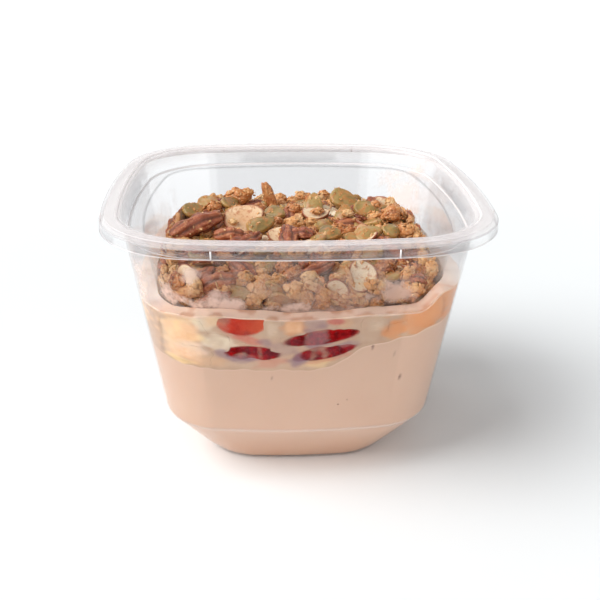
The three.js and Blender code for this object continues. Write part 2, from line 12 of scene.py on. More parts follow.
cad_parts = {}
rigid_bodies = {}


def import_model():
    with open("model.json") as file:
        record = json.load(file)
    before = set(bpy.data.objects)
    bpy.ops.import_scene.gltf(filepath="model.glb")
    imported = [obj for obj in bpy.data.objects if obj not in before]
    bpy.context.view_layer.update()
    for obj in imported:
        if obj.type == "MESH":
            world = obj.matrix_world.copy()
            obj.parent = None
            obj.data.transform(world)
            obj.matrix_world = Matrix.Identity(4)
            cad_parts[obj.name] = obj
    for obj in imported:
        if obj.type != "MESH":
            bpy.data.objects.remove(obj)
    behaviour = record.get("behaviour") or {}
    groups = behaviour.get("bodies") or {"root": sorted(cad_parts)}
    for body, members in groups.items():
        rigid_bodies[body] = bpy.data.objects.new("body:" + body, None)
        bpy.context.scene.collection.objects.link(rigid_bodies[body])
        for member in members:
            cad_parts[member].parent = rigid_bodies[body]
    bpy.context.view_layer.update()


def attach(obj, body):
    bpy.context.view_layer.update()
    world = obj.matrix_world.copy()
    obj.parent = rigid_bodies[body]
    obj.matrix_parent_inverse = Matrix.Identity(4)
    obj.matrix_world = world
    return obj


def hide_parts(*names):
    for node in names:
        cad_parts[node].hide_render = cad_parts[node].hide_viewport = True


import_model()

MM = 0.001

# Sections of the tub: height, half width, radius of the bowed sides and radius of the corners
BASE = np.array([0, 30.6, 180, 17.5])
CREASE = np.array([19.2, 44.5, 191, 20])
MOUTH = np.array([84.5, 54.4, 250, 27])
RIM = np.array([84.5, 60, 289, 31])

# The tub's wall, the rounding of its heel, how far its foot's sole runs in from the heel, the drop
# of the rim's skirt and its rounding, and the short ribs on the skirt
TUB_WALL = 0.6
HEEL_ROUND = 1.6
FOOT_FLAT = 6
SKIRT_DROP = 3.2
RIM_ROUND = 0.7
SKIRT_RIB = {"width": 0.5, "taper": 0.5, "root": 0.2, "proud": 0.25, "along": 25, "lift": 0.1}

# The tray's wall, half widths of its flange and lip, height of its ledge, sections of its pan, the
# rounding of the pan's foot and how far its floor runs in, and the gap between tray and tub
TRAY_WALL = 0.5
TRAY_FLANGE_HALF = 58.4
TRAY_LIP_HALF = 54.7
LEDGE_Z = 78.3
PAN_TOP = np.array([LEDGE_Z, 48.4, 191, 14])
PAN_FOOT = np.array([57.9, 44.6, 191, 18.2])
PAN_FOOT_ROUND = 2.4
PAN_FLOOR_FLAT = 10
GAP = 0.3

# Milky food smears on the clear walls: middle, reach each way and strength
TUB_SMEARS = [
    ((-52, 18, 72), (16, 26, 9), 0.05),
    ((50, 20, 72), (14, 36, 15), 0.16),
    ((-48, -40, 66), (8, 10, 14), 0.3),
]
TRAY_SMEARS = [
    ((43, 34, 70), (16, 26, 13), 0.24),
    ((-46, 22, 68), (9, 26, 8), 0.1),
    ((-25, -44, 61.6), (15, 7, 4.4), 0.8),
    ((-24, -44, 65.4), (5, 6, 4), 0.5),
    ((-32.4, -44, 71), (5, 6, 4), 0.4),
    ((-40, -38, 63), (6, 9, 5), 0.75),
    ((0, -46, 59.2), (52, 8, 2.6), 0.6),
    ((-6, -46, 61), (12, 6, 2.6), 0.65),
    ((25, -44, 65.4), (10, 7, 6), 0.4),
    ((0, -46, 64), (66, 8, 22), 0.13),
]

# Tops of the yogurt, with the heights at which its side bends at the crease, and of the fruit
# layer. A ripple is given by its height and how fast it runs along x and y. What lies deeper than
# SIDE_DEPTH is no longer on the front, and the steps are those of a side and a corner of a wall.
YOGURT_LOW = 42.3
YOGURT_STEP = {"start": 4, "end": 22, "rise": 8.4, "skew": 0.12}
YOGURT_RIGHT_SLOPE = 0.19
YOGURT_LEFT_LIP = {"start": -30, "slope": 0.16}
YOGURT_SWELL = {"height": 0.9, "deep": 0.09, "along": 0.05}
YOGURT_RIPPLES = [(0.25, 0.55, 0.3), (0.15, 1.1, -0.7)]
YOGURT_KNEE = (18.0, 18.6, 19.2, 19.8, 20.4, 21)
FRONT_WALL = -47
SIDE_DEPTH = -20
FRUIT_TOP = 60.2
FRUIT_RIGHT = {"start": 33, "end": 42, "rise": 5, "back": 10, "fade": 40}
FRUIT_SWELL = {"height": 0.5, "along": 0.13, "deep": -0.1}
FRUIT_RIPPLE = {"height": 0.3, "along": 0.45, "deep": 0.4}
WALL_STEPS = (90, 40)

# Where the fruit layer meets the tray's pan: how clear of its wall, how far its edge climbs, how
# far in and up its foot lies and how far down its floor. Then the rises across its ring, by share.
PAN_BED = {"clear": 0.15, "climb": 0.1, "foot_in": 0.6, "foot_up": 0.2, "floor_down": 0.12}
RING_RISES = ((0.25, 0.05), (0.6, -0.05), (0.85, 0))

# The ring's painted light, where tray and granola shade it: from where and over how much it is
# whiter at the back and dims to the right, how much it dims there, and how strong the painted
# reflections of the granola are
RING_PAINTED_LIGHT = {"back": (-44, 14), "right": (24, 22), "dims": 0.28, "granola_reflections": 0.75}

# How far out the rings of the yogurt's top and of the fruit layer's underside lie
YOGURT_CAP = (0.985, 0.94, 0.85, 0.7, 0.5, 0.3, 0.12)
FRUIT_CAP = (0.1, 0.4, 0.7, 0.9, 0.97)

# Dark specks in the yogurt at the front: along, height and radius
FLECKS = [(20.5, 49.8, 0.5), (27.4, 46, 0.7), (29.6, 37.6, 0.5), (-8.9, 39, 0.5), (24, 48, 0.35)]

# How far the contents and the fruit reach inside the tub's outer face, within the wall. Each piece
# of fruit stands a little further out than the one before, so that no two faces coincide.
YOGURT_INSET = 0.42
FRUIT_INSET = 0.38
FRUIT_STAGGER = 0.004

# How far a piece of fruit is pressed flat by the wall, and how far it stays under the layer's top
FRUIT_PRESS = 2.2
FRUIT_CLEAR = 0.3

# Fruit against the wall: kind, name, side of the tub, distance along it, height, size and roll
FRUIT = [
    ("half", "strawberry_slice_1", 0, -17.4, 59.0, (16.4, 8, 10.4), -2),
    ("slice", "strawberry_slice_2", 0, -14.4, 48.3, (18.8, 9, 5.8), -3),
    ("slice", "strawberry_slice_3", 0, 5.4, 53.7, (25.4, 9, 5.6), 9),
    ("slice", "strawberry_slice_4", 0, 6.4, 48.5, (21.0, 9, 5.4), 12),
    ("flesh", "strawberry_slice_5", 0, 9.4, 58.9, (7.2, 7, 3.2), 0),
    ("slice", "strawberry_slice_6", 1, -20, 57, (17, 10, 5.6), -8),
    ("slice", "strawberry_slice_7", 2, -16, 56.4, (21, 10, 5.4), 6),
    ("slice", "strawberry_slice_8", 3, -2, 53, (20, 10, 5.4), 8),
    ("peach", "peach_piece_1", 0, -2.6, 57.4, (7.0, 8, 5.6), 0),
    ("peach", "peach_piece_2", 0, -34.2, 54.4, (14.4, 10, 9.4), 6),
    ("peach", "peach_piece_3", 0, -33.6, 47.0, (16, 10, 6.4), -4),
    ("peach", "peach_piece_4", 0, 27.4, 55.2, (7.6, 9, 5.2), 12),
    ("peach", "peach_piece_5", 0, 35.6, 59.4, (13.0, 9, 10.4), 14),
    ("peach", "peach_piece_6", 1, 4, 57.4, (13, 11, 7), 5),
    ("peach", "peach_piece_7", 2, 10, 51, (13, 12, 8), 8),
    ("peach", "peach_piece_8", 3, -24, 54, (12, 11, 8.6), -8),
    ("pear", "pear_piece_1", 0, -24.4, 51.6, (7.0, 8, 6.2), -6),
    ("pear", "pear_piece_2", 0, -8.6, 56.4, (5.0, 8, 7.6), 0),
    ("pear", "pear_piece_3", 0, 20.6, 57.2, (7.6, 9, 6.4), 6),
]

# For each kind of fruit: where its colour starts to turn to the juice's and where it has, as
# shares of its reach, how square its outline is, and how uneven its skin
FRUIT_KINDS = {
    "slice": {"fade": (0.78, 0.96), "square": 2, "uneven": 0.24},
    "half": {"fade": (0.8, 0.97), "square": 2, "uneven": 0.14},
    "flesh": {"fade": (0.4, 0.9), "square": 2, "uneven": 0.14},
    "peach": {"fade": (0.4, 0.88), "square": 4, "uneven": 0.14},
    "pear": {"fade": (0.3, 0.85), "square": 4, "uneven": 0.14},
}

# Painted reflections of the tub's wall greying the strawberry on the front: along, height, width,
# tallness and strength
REFLECTION_PATCHES = [
    (4.2, 53.4, 6.4, 14, 0.5),
    (-2.2, 46.8, 5.6, 9, 0.7),
    (12.6, 51.6, 6.0, 3, 0.35),
    (-18.6, 46.2, 9.0, 3.6, 0.6),
    (-12.3, 48.6, 1.4, 14, 0.25),
    (-23.4, 59.6, 6.0, 9, 0.3),
]

# Colours that show softly in the fruit layer, and where: side, along, height, width, tallness,
# roll, colour and strength
SHADE_COLORS = {
    "juice": (196, 162, 138),
    "peach": (237, 198, 156),
    "ripe": (222, 150, 100),
    "gold": (244, 208, 150),
    "cream": (234, 216, 190),
    "blush": (234, 204, 182),
    "beige": (200, 170, 146),
    "tan": (212, 168, 134),
    "berry": (204, 124, 106),
    # A painted reflection of the tub's wall, purple-grey over the strawberries
    "reflected_grey": (142, 114, 128),
    # Painted light for the shaded ring, and a painted reflection of the granola in toasted colour
    "ring": (250, 218, 198),
    "far ring": (250, 240, 232),
    "toasted": (204, 142, 108),
    "edge line": (252, 232, 214),
}
SHADES = [
    (0, -41.7, 61.9, 4.6, 3.4, 0, "berry", 0.8),
    (0, -35.4, 53.2, 12, 17, 8, "peach", 0.85),
    (0, -36.1, 55.5, 2.8, 5, 0, "gold", 0.8),
    (0, -36.8, 60.4, 9, 3.6, 0, "tan", 0.7),
    (0, -28.4, 57.9, 6.5, 5, 0, "cream", 0.7),
    (0, -25.4, 58.9, 6.5, 3.4, 0, "peach", 0.7),
    (0, -24.6, 51.8, 10, 4.8, -6, "cream", 0.9),
    (0, -33.2, 53.1, 12, 2.8, -4, "gold", 0.5),
    (0, -32.5, 49.1, 11, 6, 0, "blush", 0.7),
    (0, -27.3, 44.9, 13, 3.8, 4, "tan", 0.85),
    (0, -36.4, 44.3, 9, 2.2, -8, "gold", 0.6),
    (0, -23.4, 48, 5, 3, 0, "reflected_grey", 0.7),
    (0, -21, 55.2, 7, 2.6, -30, "berry", 0.45),
    (0, -8.8, 56.6, 9, 8.4, 0, "beige", 0.6),
    (0, -2.5, 57.8, 7, 6, 0, "ripe", 0.75),
    (0, -15.8, 53.1, 10, 3, -16, "berry", 0.9),
    (0, -10.7, 52, 5, 2.4, -20, "reflected_grey", 0.6),
    (0, -18, 46.3, 10, 3.2, 0, "reflected_grey", 0.85),
    (0, -17.9, 44.4, 11, 2.2, 0, "beige", 0.5),
    (0, -9.5, 44.9, 9, 4, 10, "berry", 0.5),
    (0, -5.7, 49.6, 9, 5, 0, "reflected_grey", 0.3),
    (0, 3.6, 58.6, 8, 4.8, 0, "reflected_grey", 0.45),
    (0, 7.8, 59.4, 3.2, 2.4, 0, "berry", 0.7),
    (0, 12, 58.4, 6, 3.6, 0, "tan", 0.6),
    (0, -0.6, 46.4, 6.4, 4.4, 34, "reflected_grey", 0.9),
    (0, 12.4, 50.6, 8.6, 3, 10, "reflected_grey", 0.6),
    (0, 4.4, 53.2, 9, 7, 0, "reflected_grey", 0.8),
    (0, 18.5, 55.7, 10, 9.4, 0, "beige", 0.6),
    (0, 24.8, 59, 7, 3.6, 0, "beige", 0.5),
    (0, 25.9, 54.6, 7, 5.8, 12, "ripe", 0.85),
    (0, 35.4, 58.6, 18, 12, 14, "ripe", 0.95),
    (0, 43, 62.6, 8, 12, 0, "ripe", 0.9),
    (0, 4.6, 44.6, 9, 3, 12, "gold", 0.5),
    (0, 7.6, 46.1, 14, 2, 12, "berry", 0.45),
    (1, -32, 57, 18, 13, 8, "ripe", 0.85),
    (1, -18, 51, 12, 5, 0, "peach", 0.7),
    (1, 22, 58, 14, 7, 0, "cream", 0.7),
    (1, 8, 53, 20, 6, 6, "tan", 0.6),
    (1, 32, 54, 12, 6, -10, "berry", 0.5),
    (2, -30, 51, 16, 8, 10, "peach", 0.8),
    (2, 30, 56, 18, 8, -8, "berry", 0.5),
    (2, -4, 48, 18, 5, 4, "cream", 0.7),
    (2, 22, 50, 12, 4, 0, "tan", 0.7),
    (3, 14, 50, 16, 6, 0, "berry", 0.5),
    (3, 28, 55, 16, 9, 10, "peach", 0.8),
    (3, -36, 57, 14, 8, 0, "cream", 0.7),
    (3, -8, 47, 14, 3.4, 6, "reflected_grey", 0.5),
]

# The heap: heights of its shoulder and crown, its lift to the back and its unevenness, the first of
# its random numbers, the pitch and reach of its pieces on top, how many lie in a row round the
# walls, those rows by height and inset, and how clear of the listed pieces they stay
HEAP = {"shoulder": 65.6, "crown": 68, "lift": 0.035, "waver": 0.7, "wander": 0.012}
HEAP_START = 20272
HEAP_PITCH = 10.6
HEAP_REACH = 37.5
HEAP_ROUND = 11
HEAP_ROWS = ((61.8, 4.2), (66.2, 3.8))
CLEAR_OF_FEATURED = 6

# Kinds of granola pieces: length, width and thickness, and their share of the drawn ones
PIECES = {
    "seed": {"size": (9.6, 6.2, 2.8), "share": 0.36},
    "cluster": {"size": (8.4, 7, 5.6), "share": 0.26},
    "almond": {"size": (12, 8.6, 1.7), "share": 0.12},
    "pecan": {"size": (14, 7.4, 5.6), "share": 0.12},
    "sliver": {"size": (12, 3.6, 2.6), "share": 0.14},
}

# Crumbly bits caught on the listed pieces, in the same form
CAUGHT = [
    ("cluster", (-12.2, 9.6, 74.0), 20, 20, 0, (7, 4.4, 3.4)),
    ("cluster", (-20.6, 3.2, 71.4), -30, 10, 0, (4.4, 3, 2.4)),
    ("cluster", (-15.4, 29, 74.2), 0, 0, 20, (5, 4, 3)),
    ("cluster", (8.6, 13.6, 71.6), 30, 0, 0, (6, 4, 2.8)),
    ("cluster", (18.6, 10.8, 71.6), -10, 30, 0, (5, 3.4, 2.8)),
    ("cluster", (29.4, 19.6, 71.8), 60, 0, 0, (6.4, 5, 3.6)),
    ("cluster", (33.6, 9, 71.0), 10, 0, 0, (6.8, 5.4, 4)),
    ("cluster", (-5.4, 4.2, 71.4), 50, 0, 20, (4.6, 3.6, 2.8)),
    ("seed", (-29.6, 24.6, 71.4), -20, 20, 10, (8.6, 6, 3)),
    ("seed", (-22, 24, 71.6), 60, 30, 0, (8, 5.6, 3)),
]

# Granola pieces listed one by one: kind, place, turn, tip, roll and size
FEATURED = [
    ("pecan", (-32.9, 0.2, 71.2), 30, 10, -12, (20, 8, 6.6)),
    ("almond", (-17, 5.8, 71.8), 18, 38, -14, (14, 11, 2.4)),
    ("cluster", (-19, 30, 72), 8, 10, 6, (12, 7.4, 7.6)),
    ("cluster", (-27.5, 20.4, 71), 30, 0, 0, (6.6, 6, 5.8)),
    ("seed", (-34.9, 20, 70.2), 30, 30, 0, (8, 6.4, 3.4)),
    ("sliver", (-8.2, 29, 72.4), 0, 0, -105, (11, 3, 5)),
    ("seed", (-11.2, 2.4, 70.6), 20, 25, -12, (10.4, 6.6, 3.2)),
    ("seed", (-6.4, 16, 70.2), -35, 30, 0, (8.4, 6.2, 3.2)),
    ("cluster", (0.2, 19.9, 70), 0, 0, 0, (7.6, 6, 5.4)),
    ("cluster", (-0.3, 5.4, 70), 10, 0, 0, (9.4, 7, 4.8)),
    ("almond", (7.9, 15, 70.2), 0, 12, 0, (9.6, 8, 2)),
    ("seed", (7.6, 22.6, 71.2), 80, 0, -45, (9, 7, 3.4)),
    ("seed", (19.4, 26.4, 71.5), -22, 34, 22, (11.6, 7.6, 3.8)),
    ("seed", (17.9, 13, 70.2), 80, 0, -40, (9, 6.6, 3.2)),
    ("seed", (26.4, 18, 70.4), 0, 30, 6, (10, 7, 4.4)),
    ("seed", (24, -4.6, 69.4), 14, 24, -10, (10, 6.6, 3.4)),
    ("seed", (11.2, -5.3, 69.8), -12, 30, 0, (8, 6.4, 3.2)),
    ("seed", (32, -2.8, 69.6), 40, 30, 0, (7.4, 5.6, 3.2)),
    ("pecan", (-22, -5.3, 69.8), 6, 0, 0, (10, 6.4, 5)),
    ("pecan", (1.9, -5, 69.6), -10, 0, 0, (9, 6.4, 5)),
    ("almond", (-5, -4.8, 69.6), 24, 30, -10, (9, 6.4, 2)),
    ("cluster", (35, 14.6, 69.8), 50, 0, 0, (10.4, 8.6, 7.8)),
    ("cluster", (36.8, -0.6, 68.6), 0, 0, 0, (8.8, 7.8, 6.8)),
    ("sliver", (-33.7, -38.4, 64), 4, 0, -13, (13.4, 6.2, 4.6)),
    ("sliver", (-17.6, -41.6, 61), 2, 0, 2, (12, 3.4, 2.8)),
    ("seed", (-19.4, -41, 64.4), 0, 66, 4, (11, 5.4, 3.8)),
    ("cluster", (-7.8, -40.4, 62.8), 0, 0, 0, (7.8, 6, 6.6)),
    ("almond", (17.6, -40.6, 69.2), 0, 68, 0, (8.6, 9.6, 2.2)),
    ("sliver", (14.6, -41.4, 66), 0, 0, -105, (13, 3, 2.6)),
    ("cluster", (9.6, -40.6, 63.2), 0, 0, 0, (5.4, 5, 8)),
    ("cluster", (32.6, -38.6, 63.8), -20, 0, 0, (8.6, 6, 7)),
]

# How pieces are drawn in each part of the heap: the least of their size and the range above it, how
# far they are tipped up, and how far their tip and roll swing
DRAWN = {
    "top": {"sizes": (0.85, 0.3), "tip": 0, "swings": (44, 44)},
    "side": {"sizes": (0.85, 0.3), "tip": 90, "swings": (40, 40)},
    "top filler": {"sizes": (0.6, 0.35), "tip": 0, "swings": (60, 60)},
    "side filler": {"sizes": (0.55, 0.4), "tip": 90, "swings": (60, 70)},
}

# How high the pieces on top lie above the crown, how far they rise from there by chance, and how
# they fall away to the sides
LYING = {
    "top": {"above": 0.6, "rise": 1.2, "fall": 0.0014},
    "top filler": {"above": -0.8, "rise": 1.6, "fall": 0.0011},
}

# Small pieces that fill the heap: how common each kind is, and how clear of the others they stay
FILLERS = {
    "top filler": {
        "kinds": ["cluster"] * 6 + ["seed"] * 5 + ["sliver"] * 2 + ["almond"] * 2 + ["pecan"] * 2,
        "clear": 3.1,
    },
    "side filler": {
        "kinds": ["cluster"] * 8 + ["sliver"] * 3 + ["almond"] * 2 + ["seed", "pecan"],
        "clear": 2.2,
    },
}

# Their grid on top, and their rows at the sides by height, inset and count
FILLER_GRID = {"half": 37, "pitch": 4.3, "scatter": 3}
FILLER_ROWS = ((60.6, 2.6, 50), (63.0, 2.4, 50), (65.6, 2.8, 50), (67.8, 5.2, 40))
MOST_IN_A_PIECE = 70

# How clear of the tray's floor and walls the granola stays
PAN_CLEAR = {"floor": 0.1, "side": 0.15}

# Rings of the heap's core: how far inside the pan's foot, and height
CORE_FOOT = PAN_FOOT[0] + TRAY_WALL + 0.15
CORE_RINGS = [
    (8, CORE_FOOT),
    (3.4, CORE_FOOT),
    (2.2, CORE_FOOT + 0.8),
    (2.8, CORE_FOOT + 4),
    (3.4, HEAP["shoulder"] - 0.6),
    (7, HEAP["crown"] - 1.6),
    (16, HEAP["crown"] - 1.2),
    (30, HEAP["crown"] - 1.2),
]

# The heights from which the painted light fades on the core, low in the pan and on its sole, and
# over how much. Near the tray's wall, where the heap is seen in shade, pieces and core are painted
# lighter, from so far out and over so much: it hides a piece's own tone and leaves it pale.
CORE_PAINTED_LIGHT = {"low": (60, 7), "sole": (58.6, 2.4)}
PAINTED_WALL_LIGHT = {"from": 36, "over": 3, "hides": 0.7, "pale": 0.74}

# Crumbs to the square millimetre on each kind of piece and on the core, and the sizes of crumbs
CRUMBS = {"seed": 0.17, "pecan": 0.12, "almond": 0.14, "cluster": 0.03, "sliver": 0.3}
CORE_CRUMBS = 0.14
CRUMB_SIZES = [(0.5, 0.34, 0.2), (0.34, 0.3, 0.24), (0.8, 0.4, 0.16), (0.28, 0.24, 0.2)]

# The steepest face that a crumb stays on, by how far it faces up, and how crumbs turn and differ
CRUMB_SLOPE = -0.2
CRUMB_TURN = 6.28
CRUMB_SCALES = (0.5, 1.4)

# Flakes and grains on an oat cluster one unit long: ball level, count, distance out and size
CLUSTER_BITS = ((2, 20, 0.33, (0.18, 0.14, 0.055)), (1, 22, 0.42, (0.05, 0.04, 0.04)))

# How much of the skin's colour shows at the rim of each kind of piece
SKIN_SHARE = {"almond": 1.0, "seed": 0.7}

# Painted light and shade on the clear plastic: painted sheen on the flange, painted shade on the
# skirt and how far in from the rim it counts, painted shade on the wall and the height where that
# starts, and painted highlights on the ribs
FLANGE_SHEEN = 0.22
SKIRT_SHADE = {"share": 0.22, "within": 8, "soft": 0.3}
WALL_SHADE = {"share": 0.015, "from": 70, "soft": 4}
RIB_SHINE = 0.9

# The photograph's camera
CAMERA = {"lens": 49.94, "sensor": 36, "near": 10, "far": 30000, "place": (-13.36, -262.94, 159.49)}
CAMERA_RIGHT = (0.9985, -0.054, 0.0088)
CAMERA_FORWARD = (0.053, 0.9141, -0.402)

# Lamps by kind, place in metres, power and settings, what they aim at, how far the room lights the
# cup and how much brighter it is seen or mirrored, and half the floor's width in metres
LAMPS = {
    "window": ("SUN", (-0.72, -0.17, 0.72), 2.95, {"angle": math.radians(46)}),
    "back_card": ("AREA", (-0.3, 0.55, 0.75), 0.6, {"shape": "SQUARE", "size": 0.3}),
    "front_card": ("AREA", (0.1, -1.0, 0.4), 4.4, {"shape": "SQUARE", "size": 1.2}),
}
LAMP_AIM = (0, 0, 0.04)
ROOM_GLOW = 0.33
SEEN_GLOW = 0.65
FLOOR_HALF = 6


def tint(red, green, blue):
    """The linear colour of a screen colour from 0 to 255."""
    made = []
    for value in (red, green, blue):
        share = value / 255
        made.append(share / 12.92 if share <= 0.04045 else ((share + 0.055) / 1.055) ** 2.4)
    return (*made, 1.0)


def stops_of(*colors):
    """Even stops of a ramp, from screen colours."""
    return [(i / (len(colors) - 1), tint(*color)) for i, color in enumerate(colors)]


class Wire:
    """An output socket that arithmetic can be written on."""

    def __init__(self, graph, socket):
        self.graph = graph
        self.socket = socket

    def __add__(self, other):
        return self.graph.maths("ADD", self, other)

    def __sub__(self, other):
        return self.graph.maths("SUBTRACT", self, other)

    def __rsub__(self, other):
        return self.graph.maths("SUBTRACT", other, self)

    def __mul__(self, other):
        return self.graph.maths("MULTIPLY", self, other)

    def __pow__(self, other):
        return self.graph.maths("POWER", self, other)

    __radd__ = __add__
    __rmul__ = __mul__


class Graph:
    """A node tree, written as expressions."""

    def __init__(self, tree):
        self.tree = tree

    def add(self, kind, settings=None, sockets=None, output=0):
        """A node of that kind, its settings first, then the values or links of its sockets."""
        node = self.tree.nodes.new(kind)
        for name, value in (settings or {}).items():
            if name == "stops":
                self.set_stops(node.color_ramp, value)
            else:
                setattr(node, name, value)
        for name, value in (sockets or {}).items():
            if isinstance(value, Wire):
                self.tree.links.new(value.socket, node.inputs[name])
            else:
                node.inputs[name].default_value = value
        return Wire(self, node.outputs[output]) if len(node.outputs) else node

    def set_stops(self, ramp, stops):
        """The ramp's stops, by position and colour, in place of its own."""
        while len(ramp.elements) > 1:
            ramp.elements.remove(ramp.elements[-1])
        for i, (position, color) in enumerate(stops):
            stop = ramp.elements[0] if i == 0 else ramp.elements.new(position)
            stop.position = position
            stop.color = color

    def maths(self, operation, first, second):
        return self.add("ShaderNodeMath", {"operation": operation}, {0: first, 1: second})


class Finish(Graph):
    """A material, with the words that food and clear film are written in."""

    def __init__(self, name):
        self.material = bpy.data.materials.new(name)
        self.material.use_nodes = True
        super().__init__(self.material.node_tree)
        self.tree.nodes.clear()
        self.place = self.add("ShaderNodeTexCoord", output="Object")

    def noise(self, per_mm, detail=3.0, roughness=0.55, where=None):
        """Clouds of so many to the millimetre."""
        sockets = {
            "Vector": where or self.place,
            "Scale": per_mm / MM,
            "Detail": detail,
            "Roughness": roughness,
        }
        return self.add("ShaderNodeTexNoise", sockets=sockets)

    def cells(self, per_mm):
        """Distance to the nearest of scattered points, so many to the millimetre."""
        sockets = {"Vector": self.place, "Scale": per_mm / MM}
        return self.add("ShaderNodeTexVoronoi", sockets=sockets)

    def length(self, vector):
        return self.add("ShaderNodeVectorMath", {"operation": "LENGTH"}, {0: vector}, "Value")

    def between(self, value, low, high):
        """0 below low, 1 above high, smooth between."""
        sockets = {"Value": value, "From Min": low, "From Max": high}
        return self.add("ShaderNodeMapRange", {"interpolation_type": "SMOOTHSTEP"}, sockets)

    def mixed(self, share, first, second):
        sockets = {0: share, 6: first, 7: second}
        return self.add("ShaderNodeMix", {"data_type": "RGBA"}, sockets, output=2)

    def covered(self, share, under, over):
        """One shader over another, by a share."""
        return self.add("ShaderNodeMixShader", sockets={0: share, 1: under, 2: over})

    def worn(self, name, output="Fac"):
        """A named attribute of the mesh."""
        return self.add("ShaderNodeAttribute", {"attribute_name": name}, output=output)

    def bump(self, height, depth_mm, strength=1.0):
        sockets = {"Height": height, "Distance": depth_mm * MM, "Strength": strength}
        return self.add("ShaderNodeBump", sockets=sockets)

    def see_through(self, *color):
        return self.add("ShaderNodeBsdfTransparent", sockets={"Color": (*color, 1)})

    def surface(self, **sockets):
        named = {name.replace("_", " "): value for name, value in sockets.items()}
        return self.add("ShaderNodeBsdfPrincipled", sockets=named)

    def food(self, color, roughness, shine, normal, weight, reach_mm, radius, **more):
        """The material of soft food: light sinks in by a weight, a reach and a radius by colour."""
        shader = self.surface(
            Base_Color=color,
            Roughness=roughness,
            Specular_IOR_Level=shine,
            Normal=normal,
            Subsurface_Weight=weight,
            Subsurface_Scale=reach_mm * MM,
            Subsurface_Radius=radius,
            **more,
        )
        return self.done(shader)

    def done(self, shader):
        self.add("ShaderNodeOutputMaterial", sockets={"Surface": shader})
        return self.material


def smears_on(finish, smears):
    """How milky the film is at a point, from smears given by middle, reach and strength."""
    uneven = finish.noise(0.2, 3.0, 0.6) * 2.8 - 1.3
    stain = None
    for center, reach, share in smears:
        sockets = {
            "Vector": finish.place,
            "Location": Vector(center) * MM,
            "Scale": Vector(reach) * MM,
        }
        local = finish.add("ShaderNodeMapping", {"vector_type": "TEXTURE"}, sockets)
        spot = (1 - finish.between(finish.length(local) + uneven, 0.1, 1.0)) * share
        stain = spot if stain is None else finish.maths("MAXIMUM", stain, spot)
    return stain


def clear_plastic(name, smears):
    """Thin clear film: it mirrors at a slant, has painted highlights, shade and sheen, and stains.
    """
    finish = Finish(name)
    facing = finish.add("ShaderNodeLayerWeight", sockets={"Blend": 0.5}, output="Facing")
    mirror = 0.003 + 0.56 * facing**5
    ripple = finish.bump(finish.noise(0.03, 1.0), 0.1, 0.25)
    gloss = finish.surface(
        Base_Color=tint(244, 243, 244), Metallic=1.0, Roughness=0.12, Normal=ripple
    )
    film = finish.covered(mirror, finish.see_through(0.989, 0.987, 0.988), gloss)
    # Painted shade: a grey see-through where the bends and the skirt are marked dark.
    film = finish.covered(finish.worn("shade"), film, finish.see_through(0.52, 0.51, 0.52))
    # Painted highlights and sheen: a white coat where bends, ribs and the flange are marked bright.
    highlight_coat = finish.surface(Base_Color=tint(248, 242, 241), Roughness=0.3)
    film = finish.covered(finish.worn("shine"), film, highlight_coat)
    smear = finish.surface(Base_Color=tint(255, 230, 216), Roughness=0.5)
    return finish.done(finish.covered(smears_on(finish, smears), film, smear))


def yogurt_finish():
    """Smooth pink yogurt with painted shade at its foot, and a few dark specks of fruit."""
    finish = Finish("yogurt")
    cloud = finish.noise(0.05, 3.0)
    base = finish.mixed(cloud, tint(208, 172, 150), tint(215, 182, 160))
    fine = finish.between(finish.noise(0.9, 2.0), 0.6, 0.8)
    base = finish.mixed(fine * 0.2, base, tint(190, 150, 126))
    speck = 1 - finish.between(finish.cells(0.16), 0.03, 0.075)
    rare = finish.between(finish.noise(0.07, 1.0), 0.47, 0.53)
    base = finish.mixed(speck * rare * 0.75, base, tint(112, 72, 66))
    # Painted shade and bounced light: darker and warmer towards the foot.
    height = finish.add("ShaderNodeSeparateXYZ", sockets={0: finish.place}, output="Z")
    low = 1 - finish.between(height, 3 * MM, 20.5 * MM)
    base = finish.mixed(low * 0.6, base, tint(206, 158, 126))
    base = finish.mixed(finish.worn("lip"), base, tint(236, 206, 184))
    base = finish.mixed(finish.worn("fleck") * 0.7, base, tint(104, 66, 62))
    grain = finish.bump(finish.cells(0.8), 0.03, 0.4)
    return finish.food(base, 0.42, 0.2, grain, 0.2, 1.2, (1.0, 0.6, 0.4))


def juice_color(finish):
    """The colour painted on the layer, clouded by the juice."""
    cloud = finish.between(finish.noise(0.14, 4.0, 0.6), 0.4, 0.7)
    base = finish.mixed(cloud * 0.2, finish.worn("shade", "Color"), tint(222, 198, 172))
    veil = finish.between(finish.noise(0.35, 4.0, 0.65), 0.52, 0.75)
    return finish.mixed(veil * 0.12, base, tint(150, 122, 118))


def fruit_layer_finish():
    """Cloudy juice that lets the fruit's colours through."""
    finish = Finish("fruit_layer")
    lumps = finish.bump(finish.noise(0.5, 3.0), 0.12, 0.5)
    return finish.food(juice_color(finish), 0.35, 0.15, lumps, 0.2, 1.4, (1.0, 0.6, 0.35))


